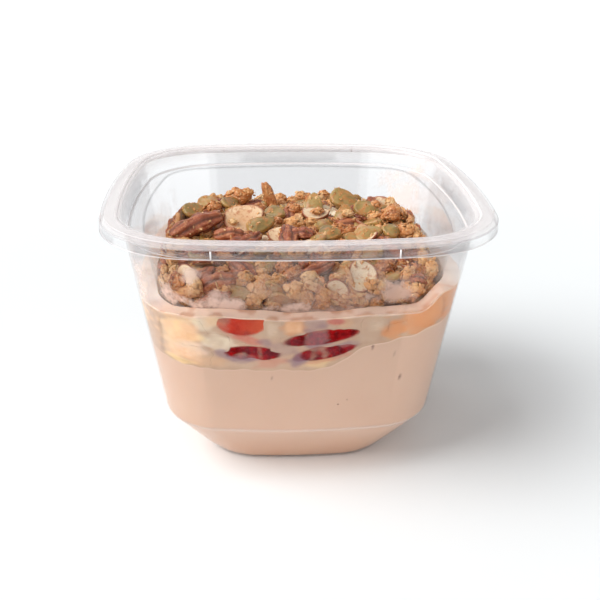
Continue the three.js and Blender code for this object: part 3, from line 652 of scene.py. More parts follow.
def strawberry_finish(name, skin, deep, flesh):
    """Deep red skin with pale seeds, greyed here and there by painted reflections, and at its edge.
    """
    finish = Finish(name)
    cloud = finish.noise(0.4, 4.0, 0.65)
    base = finish.mixed(finish.between(cloud, 0.38, 0.62), deep, skin)
    base = finish.mixed(finish.worn("flesh"), base, flesh)
    streak = finish.between(finish.noise(1.1, 3.0, 0.7), 0.56, 0.7)
    base = finish.mixed(streak * 0.3, base, tint(206, 30, 26))
    # Painted reflection: purple-grey patches, the tub's wall mirrored on the strawberry.
    veil = finish.between(finish.noise(0.13, 3.0), 0.48, 0.6)
    base = finish.mixed(veil * 0.4, base, tint(110, 58, 66))
    pip = 1 - finish.between(finish.cells(0.7), 0.12, 0.2)
    base = finish.mixed(pip * 0.15, base, tint(220, 120, 90))
    base = finish.mixed(finish.worn("rim"), base, juice_color(finish))
    pits = finish.bump(finish.noise(1.2, 3.0), 0.4, 0.8)
    return finish.food(base, 0.4, 0.03, pits, 0.1, 0.8, (1.0, 0.2, 0.15))


def soft_fruit_finish(name, light, deep):
    """Flesh of peach or pear: fibres along it, fading into the juice at its edge."""
    finish = Finish(name)
    cloud = finish.noise(0.16, 4.0, 0.6)
    stretched = finish.add(
        "ShaderNodeMapping",
        sockets={"Vector": finish.place, "Rotation": (0, 0.5, 0), "Scale": (1, 1, 3.5)},
    )
    fibre = finish.noise(0.5, 3.0, 0.6, where=stretched)
    base = finish.mixed(finish.between(cloud, 0.3, 0.7), deep, light)
    base = finish.mixed(finish.between(fibre, 0.5, 0.72) * 0.35, base, tint(246, 218, 178))
    base = finish.mixed(finish.worn("flesh"), base, tint(222, 152, 104))
    patch = finish.between(finish.noise(0.25, 3.0, 0.6), 0.3, 0.6)
    solid = (1 - finish.worn("rim")) * (0.45 + 0.4 * patch)
    base = finish.mixed(solid, juice_color(finish), base)
    return finish.food(
        base, 0.35, 0.15, finish.bump(fibre, 0.12, 0.5), 0.2, 1.6, (1.0, 0.55, 0.25)
    )


def baked_finish(name, colors, roughness, grain_per_mm, depth_mm, coat, marks=None, rim=None):
    """A toasted, glazed surface. Its colour runs through the colours by piece and by patch, with
    marks given by low and high noise, colour and strength, and the skin's colour at its rim."""
    finish = Finish(name)
    patch = finish.between(finish.noise(0.22, 4.0, 0.6), 0.3, 0.72)
    share = finish.worn("tone") * 0.7 + patch * 0.45 - 0.08
    base = finish.add("ShaderNodeValToRGB", {"stops": stops_of(*colors)}, {"Fac": share})
    if marks:
        low, high, color, strength = marks
        grain = finish.between(finish.noise(grain_per_mm, 3.0, 0.65), low, high)
        base = finish.mixed(grain * strength, base, tint(*color))
    if rim:
        base = finish.mixed(finish.worn("skin"), base, tint(*rim))
    # Darker hollows: painted shade in clusters, and on pecans their darker skin with painted shade.
    base = finish.mixed(finish.worn("groove") * 0.75, base, tint(62, 32, 20))
    crust = finish.bump(finish.noise(grain_per_mm, 5.0, 0.7), depth_mm, 0.9)
    glaze = {"Coat_Weight": coat, "Coat_Roughness": 0.2}
    return finish.food(base, roughness, 0.3, crust, 0.08, 0.8, (1.0, 0.5, 0.3), **glaze)


def floor_finish():
    """A white sweep: plain near the cup, glowing further off."""
    finish = Finish("floor")
    far = finish.between(finish.length(finish.place), 0.2, 0.9)
    return finish.done(
        finish.surface(
            Base_Color=(0.89, 0.915, 0.925, 1),
            Roughness=0.9,
            Emission_Color=finish.mixed(far, (0, 0, 0, 1), (0.5, 0.5, 0.5, 1)),
            Emission_Strength=1.0,
        )
    )


def smooth(t):
    """0 below 0, 1 above 1, smooth between."""
    s = np.clip(t, 0, 1)
    return s * s * (3 - 2 * s)


def rising(values, start, width):
    """0 below a start, 1 from a width above it, smooth between."""
    return smooth((values - start) / width)


def bulge(values, power):
    """The values with their signs kept, fuller towards 1 as the power falls."""
    return np.sign(values) * np.abs(values) ** power


def squared(x, y):
    """How far a point is from the middle, measured by squares with round corners."""
    return (x**4 + y**4) ** 0.25


def rough(points, per_mm, depth, number):
    """Signed unevenness at each point, smooth at that scale, another for each number."""
    shift = Vector((number * 7.31, number * 3.17, number * 5.73))
    waves = [noise.fractal(Vector(p) * per_mm + shift, 1.0, 2.0, 3) for p in points]
    return np.array(waves) * depth


def clouds(points, per_mm, shift=(0, 0, 0)):
    """Soft signed noise at each point."""
    return np.array([noise.noise(Vector(p) * per_mm + Vector(shift)) for p in points])


def quarter_turns(eighth):
    """The whole outline from one eighth of it, along the +X side towards the corner."""
    mirrored = eighth[..., -2:0:-1, ::-1]
    quarter = np.concatenate([eighth, mirrored], axis=-2)
    x, y = quarter[..., 0], quarter[..., 1]
    turned = []
    for cos, sin in ((1, 0), (0, 1), (-1, 0), (0, -1)):
        turned.append(np.stack([x * cos - y * sin, x * sin + y * cos], axis=-1))
    return np.concatenate(turned, axis=-2)


def arcs_of(section):
    """The middles of a side's and of a corner's arc, and the angle at which the arcs meet."""
    _, half, side, corner = section
    middle = half - side
    reach = side - corner
    center = (middle + np.sqrt(2 * reach * reach - middle * middle)) / 2
    return middle, center, np.arctan2(center, center - middle)


def outline(section, side_steps=16, corner_steps=12):
    """A square with bowed sides and round corners, as points round the section."""
    z, _, side, corner = section
    middle, center, turn = arcs_of(section)
    bow = np.linspace(0, turn, side_steps, endpoint=False)
    bend = np.linspace(turn, math.pi / 4, corner_steps + 1)
    x = np.concatenate([middle + side * np.cos(bow), center + corner * np.cos(bend)])
    y = np.concatenate([side * np.sin(bow), center + corner * np.sin(bend)])
    flat = quarter_turns(np.stack([x, y], axis=-1))
    return np.column_stack([flat, np.full(len(flat), z)])


def wall_reach(section, along):
    """How far a side of the section stands from the middle at a distance along it."""
    _, _, side, corner = section
    middle, center, turn = arcs_of(section)
    bend = side * np.sin(turn)
    along = np.abs(along)
    bowed = middle + np.sqrt(side**2 - np.minimum(along, bend) ** 2)
    rounded = center + np.sqrt(np.maximum(corner**2 - (along - center) ** 2, 0))
    return np.where(along <= bend, bowed, rounded)


def inset(section, t):
    """The section t further in."""
    return section - np.array([0, t, t, t])


def at_height(section, z):
    """The section moved to height z."""
    return np.array([z, *section[1:]])


def wall_section(low, high, z):
    """The section of a straight wall at height z, or its sections at several heights."""
    share = (np.asarray(z) - low[0]) / (high[0] - low[0])
    return (low + np.multiply.outer(share, high - low)).T


def tub_at(z):
    """The tub's outer section at height z."""
    return wall_section(BASE, CREASE, z) if z <= CREASE[0] else wall_section(CREASE, MOUTH, z)


def pan_at(z):
    """The outer section of the tray's pan at height z."""
    return wall_section(PAN_FOOT, PAN_TOP, z)


def bent(rows, steps=6):
    """Rings with rounded corners from rows of ring, radius and mark, each with its mark's share."""
    made = [(rows[0][0], 0)]
    for (before, _, _), (here, radius, mark), (after, _, _) in zip(rows, rows[1:], rows[2:]):
        if radius <= 0:
            made.append((here, mark))
            continue
        back = before - here
        onward = after - here
        start = here + back * min(radius / np.hypot(*back[:2]), 0.48)
        end = here + onward * min(radius / np.hypot(*onward[:2]), 0.48)
        for t in np.linspace(0, 1, steps + 1):
            ring = start * (1 - t) ** 2 + here * 2 * t * (1 - t) + end * t * t
            made.append((ring, mark * math.sin(math.pi * t) ** 2))
    return [*made, (rows[-1][0], 0)]


def together(parts):
    """One list of points and one of faces from several."""
    points, faces, start = [], [], 0
    for part, sides in parts:
        points.append(part)
        faces += [tuple(start + i for i in side) for side in sides]
        start += len(part)
    return np.concatenate(points), faces


def skin(loops):
    """Points and faces over closed loops of points, closed to the middle at both ends."""
    count = len(loops[0])
    points = np.vstack([*loops, loops[0].mean(axis=0), loops[-1].mean(axis=0)])
    foot, top = len(points) - 2, (len(loops) - 1) * count
    around = [(i, (i + 1) % count) for i in range(count)]
    faces = []
    for start in range(0, top, count):
        over = start + count
        faces += [(start + i, start + j, over + j, over + i) for i, j in around]
    for i, j in around:
        faces += [(foot, j, i), (foot + 1, top + i, top + j)]
    return points, faces


def ball(level):
    """Points and faces of an evenly divided ball of radius 1."""
    made = bpy.data.meshes.new("ball")
    shape = bmesh.new()
    bmesh.ops.create_icosphere(shape, subdivisions=level, radius=1)
    shape.to_mesh(made)
    shape.free()
    points = np.array([v.co for v in made.vertices])
    faces = [tuple(p.vertices) for p in made.polygons]
    bpy.data.meshes.remove(made)
    return points, faces


# What a mesh attribute is called for so many numbers at each point, and the field that holds them
MARK_KINDS = {1: ("FLOAT", "value"), 3: ("FLOAT_VECTOR", "vector"), 4: ("FLOAT_COLOR", "color")}


def mesh_of(name, points, faces=(), marks=None, soft=True):
    """A mesh in metres, with marks at its points: whole numbers, numbers, vectors or colours."""
    mesh = bpy.data.meshes.new(name)
    mesh.from_pydata((np.asarray(points, float) * MM).tolist(), [], faces)
    mesh.polygons.foreach_set("use_smooth", [soft] * len(mesh.polygons))
    for key, values in (marks or {}).items():
        values = np.asarray(values)
        whole = values.dtype.kind == "i"
        kind, field = MARK_KINDS[values.size // len(values)]
        attribute = mesh.attributes.new(key, "INT" if whole else kind, "POINT")
        flat = values.astype(np.int32 if whole else np.float32).ravel()
        attribute.data.foreach_set(field, flat)
    mesh.update()
    return mesh


def seated(obj, slot, stands_for=()):
    """The object in the scene, riding on the cup."""
    if not obj.users_collection:
        bpy.context.scene.collection.objects.link(obj)
    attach(obj, "root")
    if stands_for:
        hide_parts(*stands_for)
    return obj


def piece(name, shape, material, slot, stands_for, marks, sharp=None):
    """A finished piece at its place, from its points and faces, in place of CAD nodes."""
    mesh = mesh_of(name, *shape, marks)
    mesh.materials.append(material)
    if sharp:
        mesh.set_sharp_from_angle(angle=math.radians(sharp))
    return seated(bpy.data.objects.new(name, mesh), slot, stands_for)


def rib_box(along, quarter):
    """Points and faces of a short upright rib on the rim's skirt."""
    root, proud = SKIRT_RIB["root"], SKIRT_RIB["proud"]
    half = SKIRT_RIB["width"] / 2
    tip = half * SKIRT_RIB["taper"]
    y = RIM[2] - math.sqrt(RIM[2] ** 2 - along**2) - RIM[1]
    heights = (RIM[0] - SKIRT_DROP + SKIRT_RIB["lift"], RIM[0] - RIM_ROUND)
    corners = [(-half, root), (half, root), (tip, -proud), (-tip, -proud)]
    points = [(along + dx, y + dy, z) for z in heights for dx, dy in corners]
    sides = [(i, (i + 1) % 4, (i + 1) % 4 + 4, i + 4) for i in range(4)]
    spin = Matrix.Rotation(quarter * math.pi / 2, 3, "Z")
    turned = np.array([spin @ Vector(p) for p in points])
    return turned, [(0, 3, 2, 1), (4, 5, 6, 7), *sides]


def painted_flange_sheen(points):
    """Painted sheen on the rim's flat flange, a little white, as the film looks at a slant."""
    return np.where(points[:, 2] > RIM[0] - RIM_ROUND, FLANGE_SHEEN, 0.0)


def skirt_shade(points):
    """Painted shade: the rim's upright skirt dims what is behind it, and the wall under it, a
    little.
    """
    out = np.abs(points[:, :2]).max(axis=1) > RIM[1] - SKIRT_SHADE["within"]
    low = smooth((RIM[0] - RIM_ROUND - points[:, 2]) / SKIRT_SHADE["soft"])
    wall = rising(points[:, 2], WALL_SHADE["from"], WALL_SHADE["soft"])
    return SKIRT_SHADE["share"] * low * out + WALL_SHADE["share"] * wall


def film_piece(name, rows, ribs, material, stands_for):
    """A clear moulding from its profile: rows of ring, radius of the bend there, and how much
    painted highlight the bend carries, or painted shade where that is below 0."""
    rings = bent(rows)
    loops = [outline(ring) for ring, _ in rings]
    points, faces = together([skin(loops), *ribs])
    bends = [np.full(len(loop), mark) for loop, (_, mark) in zip(loops, rings)]
    bends = np.concatenate([*bends, [0, 0], *(np.full(len(rib), RIB_SHINE) for rib, _ in ribs)])
    marks = {
        "shine": np.clip(np.maximum(bends, 0) + painted_flange_sheen(points), 0, 1),
        "shade": np.clip(np.maximum(-bends, 0) + skirt_shade(points), 0, 1),
    }
    return piece(name, (points, faces), material, "clear_plastic", [stands_for], marks)


def make_tub():
    """The tub: up the outside, over the rim and its skirt, and down the inside."""
    t = TUB_WALL
    top = RIM[0]
    hem = top - SKIRT_DROP
    foot = inset(BASE, FOOT_FLAT)
    # Each row's last number paints a highlight on the bend, or shade where it is below 0.
    rows = [
        (foot, 0, 0),
        (BASE, HEEL_ROUND, 0.1),
        (CREASE, 1.2, 0.22),
        (tub_at(top - t), 0.9, 0.1),
        (at_height(inset(RIM, t), top - t), 0.5, 0),
        (at_height(inset(RIM, t), hem + 0.45), 0, 0.1),
        (at_height(inset(RIM, t - 0.25), hem), 0.2, 0.9),
        (at_height(inset(RIM, -0.15), hem), 0.2, 0.9),
        (at_height(RIM, hem + 0.5), 0.2, -0.2),
        (RIM, RIM_ROUND, -0.55),
        (at_height(inset(MOUTH, t), top), 1.2, 0.1),
        (inset(CREASE, t), 1.2, 0.1),
        (at_height(inset(BASE, t), t), HEEL_ROUND, 0),
        (at_height(foot, t), 0, 0),
    ]
    along = SKIRT_RIB["along"]
    ribs = [rib_box(spot, quarter) for quarter in range(4) for spot in (-along, along)]
    return film_piece("tub_clear", rows, ribs, clear_plastic("tub_plastic", TUB_SMEARS), "tub")


def make_tray():
    """The tray: up the outside of its pan, along the ledge and the flange, and back inside."""
    t = TRAY_WALL
    under = RIM[0] + GAP
    top = under + t
    flange = inset(RIM, RIM[1] - TRAY_FLANGE_HALF)
    lip = inset(RIM, RIM[1] - TRAY_LIP_HALF)
    floor = inset(PAN_FOOT, PAN_FLOOR_FLAT)

    def collar(z, further):
        return inset(tub_at(z), TUB_WALL + GAP + further)

    # Each row's last number paints a highlight on the bend, or shade where it is below 0.
    rows = [
        (floor, 0, 0),
        (PAN_FOOT, PAN_FOOT_ROUND, 0.55),
        (PAN_TOP, 0.8, 0.1),
        (collar(LEDGE_Z, 0), 0.9, 0.85),
        (at_height(collar(under, 0), under), 0.9, 0),
        (at_height(flange, under), 0.15, 0),
        (at_height(flange, top), 0.15, 0.2),
        (at_height(lip, top), 0.8, 0.6),
        (collar(LEDGE_Z + t, t), 1.2, -0.12),
        (at_height(inset(PAN_TOP, t), LEDGE_Z + t), 0.8, -0.6),
        (at_height(inset(PAN_FOOT, t), PAN_FOOT[0] + t), 2.0, 0.5),
        (at_height(floor, PAN_FOOT[0] + t), 0, 0),
    ]
    return film_piece("tray_clear", rows, [], clear_plastic("tray_plastic", TRAY_SMEARS), "tray")


def yogurt_top(x, y):
    """The height of the yogurt's top, stepped up to the right."""
    back = y - FRONT_WALL
    start, end = YOGURT_STEP["start"], YOGURT_STEP["end"]
    climb = YOGURT_STEP["rise"] * rising(x + YOGURT_STEP["skew"] * back, start, end - start)
    right = YOGURT_RIGHT_SLOPE * np.maximum(x - end, 0)
    left = YOGURT_LEFT_LIP["slope"] * np.maximum(YOGURT_LEFT_LIP["start"] - x, 0)
    swell = np.sin(YOGURT_SWELL["deep"] * back) * np.cos(YOGURT_SWELL["along"] * x)
    ripple = sum(height * np.sin(along * x + deep * y) for height, along, deep in YOGURT_RIPPLES)
    return YOGURT_LOW + climb + right + left + YOGURT_SWELL["height"] * swell + ripple


def fruit_top(x, y):
    """The height of the fruit layer's top, raised at the front right."""
    span = FRUIT_RIGHT["end"] - FRUIT_RIGHT["start"]
    rise = FRUIT_RIGHT["rise"] * rising(x, FRUIT_RIGHT["start"], span)
    front = smooth((FRUIT_RIGHT["back"] - y) / FRUIT_RIGHT["fade"])
    swell = FRUIT_SWELL["height"] * np.sin(FRUIT_SWELL["along"] * x + FRUIT_SWELL["deep"] * y)
    ripple = np.sin(FRUIT_RIPPLE["along"] * x) * np.cos(FRUIT_RIPPLE["deep"] * y)
    return FRUIT_TOP + rise * front + swell + FRUIT_RIPPLE["height"] * ripple


class WallStack:
    """Points of a wall, t inside its outer face, column by column."""

    def __init__(self, section_at, t, low, high):
        self.heights = np.arange(low, high, 0.5)
        sections = [inset(section_at(z), t) for z in self.heights]
        self.loops = np.stack([outline(section, *WALL_STEPS) for section in sections])
        self.count = self.loops.shape[1]

    def at(self, z):
        """A loop whose column i stands at height z[i]."""
        z = np.broadcast_to(np.asarray(z, float), (self.count,))
        spot = np.interp(z, self.heights, np.arange(len(self.heights)))
        low = np.clip(spot.astype(int), 0, len(self.heights) - 2)
        share = (spot - low)[:, None]
        columns = np.arange(self.count)
        loop = self.loops[low, columns] * (1 - share) + self.loops[low + 1, columns] * share
        loop[:, 2] = z
        return loop

    def met(self, height):
        """The heights at which the columns meet a surface z = height(x, y)."""
        z = np.full(self.count, FRUIT_TOP)
        for _ in range(12):
            loop = self.at(z)
            z = height(loop[:, 0], loop[:, 1])
        return z


def cap(loop, height, shares):
    """Loops that close a surface z = height(x, y) inwards from a loop."""
    made = []
    for share in shares:
        inner = loop.copy()
        inner[:, :2] *= share
        inner[:, 2] = height(inner[:, 0], inner[:, 1])
        made.append(inner)
    return made


def make_yogurt(wall):
    """The yogurt: a round heel, up the tub's wall past the crease, and over its stepped top."""
    body = inset(BASE, YOGURT_INSET)
    rows = [
        (at_height(inset(body, FOOT_FLAT), YOGURT_INSET), 0, 0),
        (at_height(body, YOGURT_INSET), HEEL_ROUND, 0),
        (inset(tub_at(6), YOGURT_INSET), 0, 0),
    ]
    loops = [outline(ring, *WALL_STEPS) for ring, _ in bent(rows, 5)[:-1]]
    loops += [wall.at(z) for z in (*np.linspace(4, 17.4, 8), *YOGURT_KNEE)]
    start = loops[-1][:, 2]
    top = wall.met(yogurt_top)
    for share in (*np.linspace(0.05, 0.97, 20), 0.985, 1):
        loops.append(wall.at(start + (top - start) * share))
    loops += cap(loops[-1], yogurt_top, YOGURT_CAP)
    points, faces = skin(loops)
    x, y, z = points.T
    fleck = np.zeros(len(points))
    for along, height, reach in FLECKS:
        away = np.hypot(x - along, z - height) / reach
        fleck = np.maximum(fleck, (1 - rising(away, 0.5, 0.7)) * (y < SIDE_DEPTH))
    below = yogurt_top(x, y) - z
    lip = (1 - smooth(below / 0.5)) * (0.25 + 0.6 * rising(x, 2, 14))
    marks = {"lip": lip, "fleck": fleck}
    shape = (points, faces)
    return piece("yogurt_body", shape, yogurt_finish(), "yogurt", ["yogurt"], marks, sharp=35)


def side_place(points, side):
    """Distance along a side of the tub and height, and whether a point is on that side."""
    spin = Matrix.Rotation(-side * math.pi / 2, 3, "Z")
    turned = points @ np.array(spin).T
    return turned[:, 0], turned[:, 2], turned[:, 1] < SIDE_DEPTH


def laid_over(under, over, share):
    """One colour over another, by a share at each point."""
    share = share[:, None]
    return np.asarray(under) * (1 - share) + np.asarray(over) * share


def layer_color(name):
    """A named colour of the fruit layer."""
    return tint(*SHADE_COLORS[name])


def ring_painted_light(points):
    """The layer's top between the walls, painted light: whiter at the back, dimmer to the right,
    with painted reflections of the granola in patches at the front.
    """
    back = rising(points[:, 1], *RING_PAINTED_LIGHT["back"])
    lightened = laid_over(layer_color("ring"), layer_color("far ring"), back)
    lightened = lightened * (1 - RING_PAINTED_LIGHT["dims"] * rising(points[:, 0], *RING_PAINTED_LIGHT["right"]))[:, None]
    # Painted reflections of the granola, in toasted colours, at the front.
    toasted = RING_PAINTED_LIGHT["granola_reflections"] * rising(clouds(points, 0.24, (3, 8, 1)), -0.06, 0.3)
    return laid_over(lightened, layer_color("toasted"), toasted * (1 - back))


def painted_layer(points, inner):
    """The fruit layer's colour at each point, soft where fruit shows through the juice."""
    juice = np.array(layer_color("juice"))
    color = juice * (1 + 0.12 * clouds(points, 0.11))[:, None]
    for side, along, height, width, tall, roll, shade, share in SHADES:
        x, z, faces_side = side_place(points, side)
        wobble = 0.16 * np.sin(0.9 * x + 1.3 * z) + 0.12 * np.sin(2.1 * z - 0.6 * x)
        cos, sin = math.cos(math.radians(roll)), math.sin(math.radians(roll))
        u = ((x - along) * cos + (z - height) * sin) / (width / 2)
        v = (-(x - along) * sin + (z - height) * cos) / (tall / 2)
        reach = np.hypot(u, v) * (1 + wobble)
        near = share * (1 - rising(reach, 0.55, 0.75)) * faces_side
        color = laid_over(color, layer_color(shade), near)
    # The ring, and the hidden rings under the pan, are painted light where tray and granola shade
    # them.
    below = fruit_top(points[:, 0], points[:, 1]) - points[:, 2]
    ring = 0.85 * np.maximum(smooth((0.35 - below) / 0.3), inner)
    color = laid_over(color, ring_painted_light(points), ring)
    line = 0.5 * np.exp(-(((0.3 - below) / 0.22) ** 2)) * (1 - inner)
    color = laid_over(color, layer_color("edge line"), line)
    color[:, 3] = 1
    return np.clip(color, 0, 1)


def make_fruit_layer(wall):
    """The soft layer: from under its middle, up the tub's wall, over its ring and under the pan."""
    low, high = wall.met(yogurt_top), wall.met(fruit_top)
    loops = cap(wall.at(low), yogurt_top, FRUIT_CAP)
    loops += [wall.at(low + (high - low) * share) for share in np.linspace(0, 1, 34)]
    edge = loops[-1]
    pan = WallStack(pan_at, -PAN_BED["clear"], PAN_FOOT[0], PAN_TOP[0])
    rim = pan.at(pan.met(fruit_top) + PAN_BED["climb"])
    for share, rise in RING_RISES:
        ring = edge * (1 - share) + rim * share
        ring[:, 2] = fruit_top(ring[:, 0], ring[:, 1]) + rise
        loops.append(ring)
    foot = inset(PAN_FOOT, PAN_BED["foot_in"])
    foot = outline(at_height(foot, PAN_FOOT[0] + PAN_BED["foot_up"]), *WALL_STEPS)
    floor = foot * np.array([0.96, 0.96, 1])
    floor[:, 2] = PAN_FOOT[0] - PAN_BED["floor_down"]
    hidden = [rim, foot, floor, floor * np.array([0.5, 0.5, 1])]
    points, faces = skin(loops + hidden)
    # The hidden rings under the pan are painted light, so the shaded gap at the pan's foot shows
    # light.
    inner = np.zeros(len(points))
    inner[-2 - len(rim) * len(hidden) : -2] = 1
    marks = {"shade": painted_layer(points, inner)}
    shape = (points, faces)
    name = "fruit_layer"
    return piece("fruit_layer_body", shape, fruit_layer_finish(), name, [name], marks, sharp=50)


def fruit_form(kind, points, size, number):
    """A piece of fruit about its own middle, as wide along x, deep in y and tall in z as size."""
    x, y, z = points.T
    if kind in ("slice", "flesh"):
        y, z = bulge(y, 0.55), z * (1 - 0.25 * x) + 0.3 * np.sin(2.4 * x + number) * (1 - x * x)
    elif kind == "half":
        z = np.where(z > 0, bulge(z, 0.4) * 0.25, z)
    else:
        x, y, z = bulge(points.T, 0.55)
        spread = 1 / (0.6 + 0.4 * np.max(np.abs([x, y, z]), axis=0))
        x, y, z = x * spread, y * spread, z * spread
    form = np.column_stack([x, y, z]) * np.array(size) / 2
    return form * (1 + rough(form, 0.3, FRUIT_KINDS[kind]["uneven"], number)[:, None])


def faded_edge(kind, form, size):
    """How far the colour has turned to the juice's at each point, from the middle outwards."""
    power = FRUIT_KINDS[kind]["square"]
    u, v = np.abs(form[:, 0] / size[0] * 2), np.abs(form[:, 2] / size[2] * 2)
    reach = (u**power + v**power) ** (1 / power)
    if kind == "half":
        reach = np.where(form[:, 2] > 0, u, reach)
    start, end = FRUIT_KINDS[kind]["fade"]
    return rising(reach, start, end - start)


def reflected_grey_share(form):
    """How far a painted reflection greys the strawberry at each point."""
    uneven = rough(form, 0.4, 0.5, 3)
    haze = np.zeros(len(form))
    for along, height, width, tall, share in REFLECTION_PATCHES:
        away = squared((form[:, 0] - along) / width * 2, (form[:, 2] - height) / tall * 2) + uneven
        haze = np.maximum(haze, share * (1 - rising(away, 0.6, 0.6)))
    return haze


def flesh_share(kind, points, along):
    """How far the colour of the flesh, or of ripe peach, shows at each point."""
    if kind == "half":
        return 0.2 + 0.6 * rising(points[:, 0], -0.4, 1.2)
    share = {"flesh": 0.6, "peach": 0.9 if along > 20 else 0.1}.get(kind, 0.0)
    return np.full(len(points), share)


def make_fruit_piece(row, number, material):
    """A piece of fruit, pressed flat against the tub's wall and clouded at its edge."""
    kind, name, side, along, height, size, roll = row
    points, faces = ball(5)
    form = fruit_form(kind, points, size, number)
    rim = faded_edge(kind, form, size)
    gap = FRUIT_INSET - FRUIT_STAGGER * number
    _, half, bow, _ = inset(tub_at(height), gap)
    round_bow = Matrix.Rotation(math.asin(along / bow), 3, "Z")
    spin = round_bow @ Matrix.Rotation(-math.radians(roll), 3, "Y")
    wall_y = bow - math.sqrt(bow**2 - along**2) - half
    form = form @ np.array(spin).T
    form += np.array([along, wall_y + size[1] / 2 - FRUIT_PRESS, height])
    section = wall_section(CREASE, MOUTH, form[:, 2])
    section[1:] -= gap
    face = -wall_reach(section, form[:, 0])
    rim = np.maximum(rim, 1 - smooth((face - form[:, 1]) / 0.5))
    form[:, 1] = np.maximum(form[:, 1], face)
    # Painted reflections grey the strawberries on the front.
    if kind in ("slice", "half") and side == 0:
        rim = np.maximum(rim, reflected_grey_share(form))
    form = form @ np.array(Matrix.Rotation(side * math.pi / 2, 3, "Z")).T
    form[:, 2] = np.minimum(form[:, 2], fruit_top(form[:, 0], form[:, 1]) - FRUIT_CLEAR)
    marks = {
        "rim": rim,
        "flesh": flesh_share(kind, points, along),
        "shade": painted_layer(form, np.zeros(len(form))),
    }
    slot = name.split("_")[0]
    return piece(name + "_fruit", (form, faces), material, slot, [name], marks, sharp=40)


def make_fruit():
    """Every piece of fruit, in the finish of its kind."""
    finishes = {
        "slice": strawberry_finish(
            "strawberry_skin", tint(168, 10, 14), tint(98, 4, 8), tint(214, 90, 66)
        ),
        "half": strawberry_finish(
            "strawberry_half", tint(196, 48, 36), tint(172, 32, 30), tint(206, 96, 66)
        ),
        "flesh": strawberry_finish(
            "strawberry_flesh", tint(196, 104, 90), tint(176, 86, 78), tint(206, 140, 124)
        ),
        "peach": soft_fruit_finish("peach", tint(240, 205, 170), tint(228, 178, 138)),
        "pear": soft_fruit_finish("pear", tint(218, 194, 170), tint(198, 170, 146)),
    }
    for number, row in enumerate(FRUIT, 1):
        make_fruit_piece(row, number, finishes[row[0]])


def make_random(start):
    """Repeatable random numbers from 0 to 1."""
    state = start

    def draw():
        nonlocal state
        state = (state * 48271) % 2147483647
        return state / 2147483647

    return draw


def pick_kind(share):
    """The kind of piece at a share of the way through all of them."""
    for kind, row in PIECES.items():
        share -= row["share"]
        if share < 0:
            return kind
    return "cluster"


def turn_along(x, y):
    """The turn that lays a piece along the nearest wall of the tray."""
    return math.degrees(math.atan2(y**3, x**3)) + 90


def drawn_spot(draw, kind, at, part):
    """A piece of that kind there, as a part of the heap has them: size, turn, tip and roll."""
    least, more = DRAWN[part]["sizes"]
    tip = DRAWN[part]["tip"]
    tip_swing, roll_swing = DRAWN[part]["swings"]
    scale = least + more * draw()
    size = tuple(value * scale for value in PIECES[kind]["size"])
    turn = turn_along(*at[:2]) if tip else 360 * draw()
    tipped = tip + tip_swing * (draw() - 0.5)
    rolled = roll_swing * (draw() - 0.5)
    return (kind, at, turn, tipped, rolled, size)


def lying_height(draw, x, y, part):
    """The drawn height of a piece on top of the heap."""
    lying = LYING[part]
    fall = lying["fall"] * squared(x, y) ** 2
    return HEAP["crown"] + lying["above"] + lying["rise"] * draw() + HEAP["lift"] * y - fall


def top_spots(draw):
    """The rows of large pieces on the heap."""
    spots = []
    row_pitch = 0.9 * HEAP_PITCH
    count = math.ceil(HEAP_REACH / row_pitch)
    for j in range(-count, count + 1):
        for i in range(-count, count + 1):
            x = HEAP_PITCH * (i + (0.5 if j % 2 else 0) + 0.3 * (draw() - 0.5))
            y = row_pitch * (j + 0.3 * (draw() - 0.5))
            z = lying_height(draw, x, y, "top")
            if squared(x, y) <= HEAP_REACH:
                spots.append(drawn_spot(draw, pick_kind(draw()), (x, y, z), "top"))
    return spots


def point_along(loop, share):
    """The point at a share of the way round a loop."""
    steps = np.linalg.norm(np.roll(loop, -1, axis=0) - loop, axis=1)
    left = (share % 1) * steps.sum()
    i = 0
    while left > steps[i]:
        left -= steps[i]
        i += 1
    ahead = loop[(i + 1) % len(loop)]
    return loop[i] + (ahead - loop[i]) * (left / steps[i])


def wall_places(draw, loop, count, z, scatter):
    """Drawn places round a loop, so many and about as high as z."""
    for i in range(count):
        x, y = point_along(loop[:, :2], (i + scatter * draw()) / count)
        yield x, y, z + 1.6 * (draw() - 0.5)


def side_spots(draw):
    """The large pieces against the tray's walls."""
    spots = []
    for z, pull in HEAP_ROWS:
        loop = outline(inset(PAN_FOOT, pull), 2, 3)
        for at in wall_places(draw, loop, HEAP_ROUND, z, 0.5):
            spots.append(drawn_spot(draw, pick_kind(draw()), at, "side"))
    return spots


def clear_of(others, at):
    """The distance from a place to the nearest of the other pieces."""
    return min(math.dist(at, other[1]) for other in others)


def heap_spots():
    """Every piece that the solids have: those listed, then the drawn clear of them."""
    draw = make_random(HEAP_START)
    drawn = [*top_spots(draw), *side_spots(draw)]
    return [*FEATURED, *(spot for spot in drawn if clear_of(FEATURED, spot[1]) > CLEAR_OF_FEATURED)]


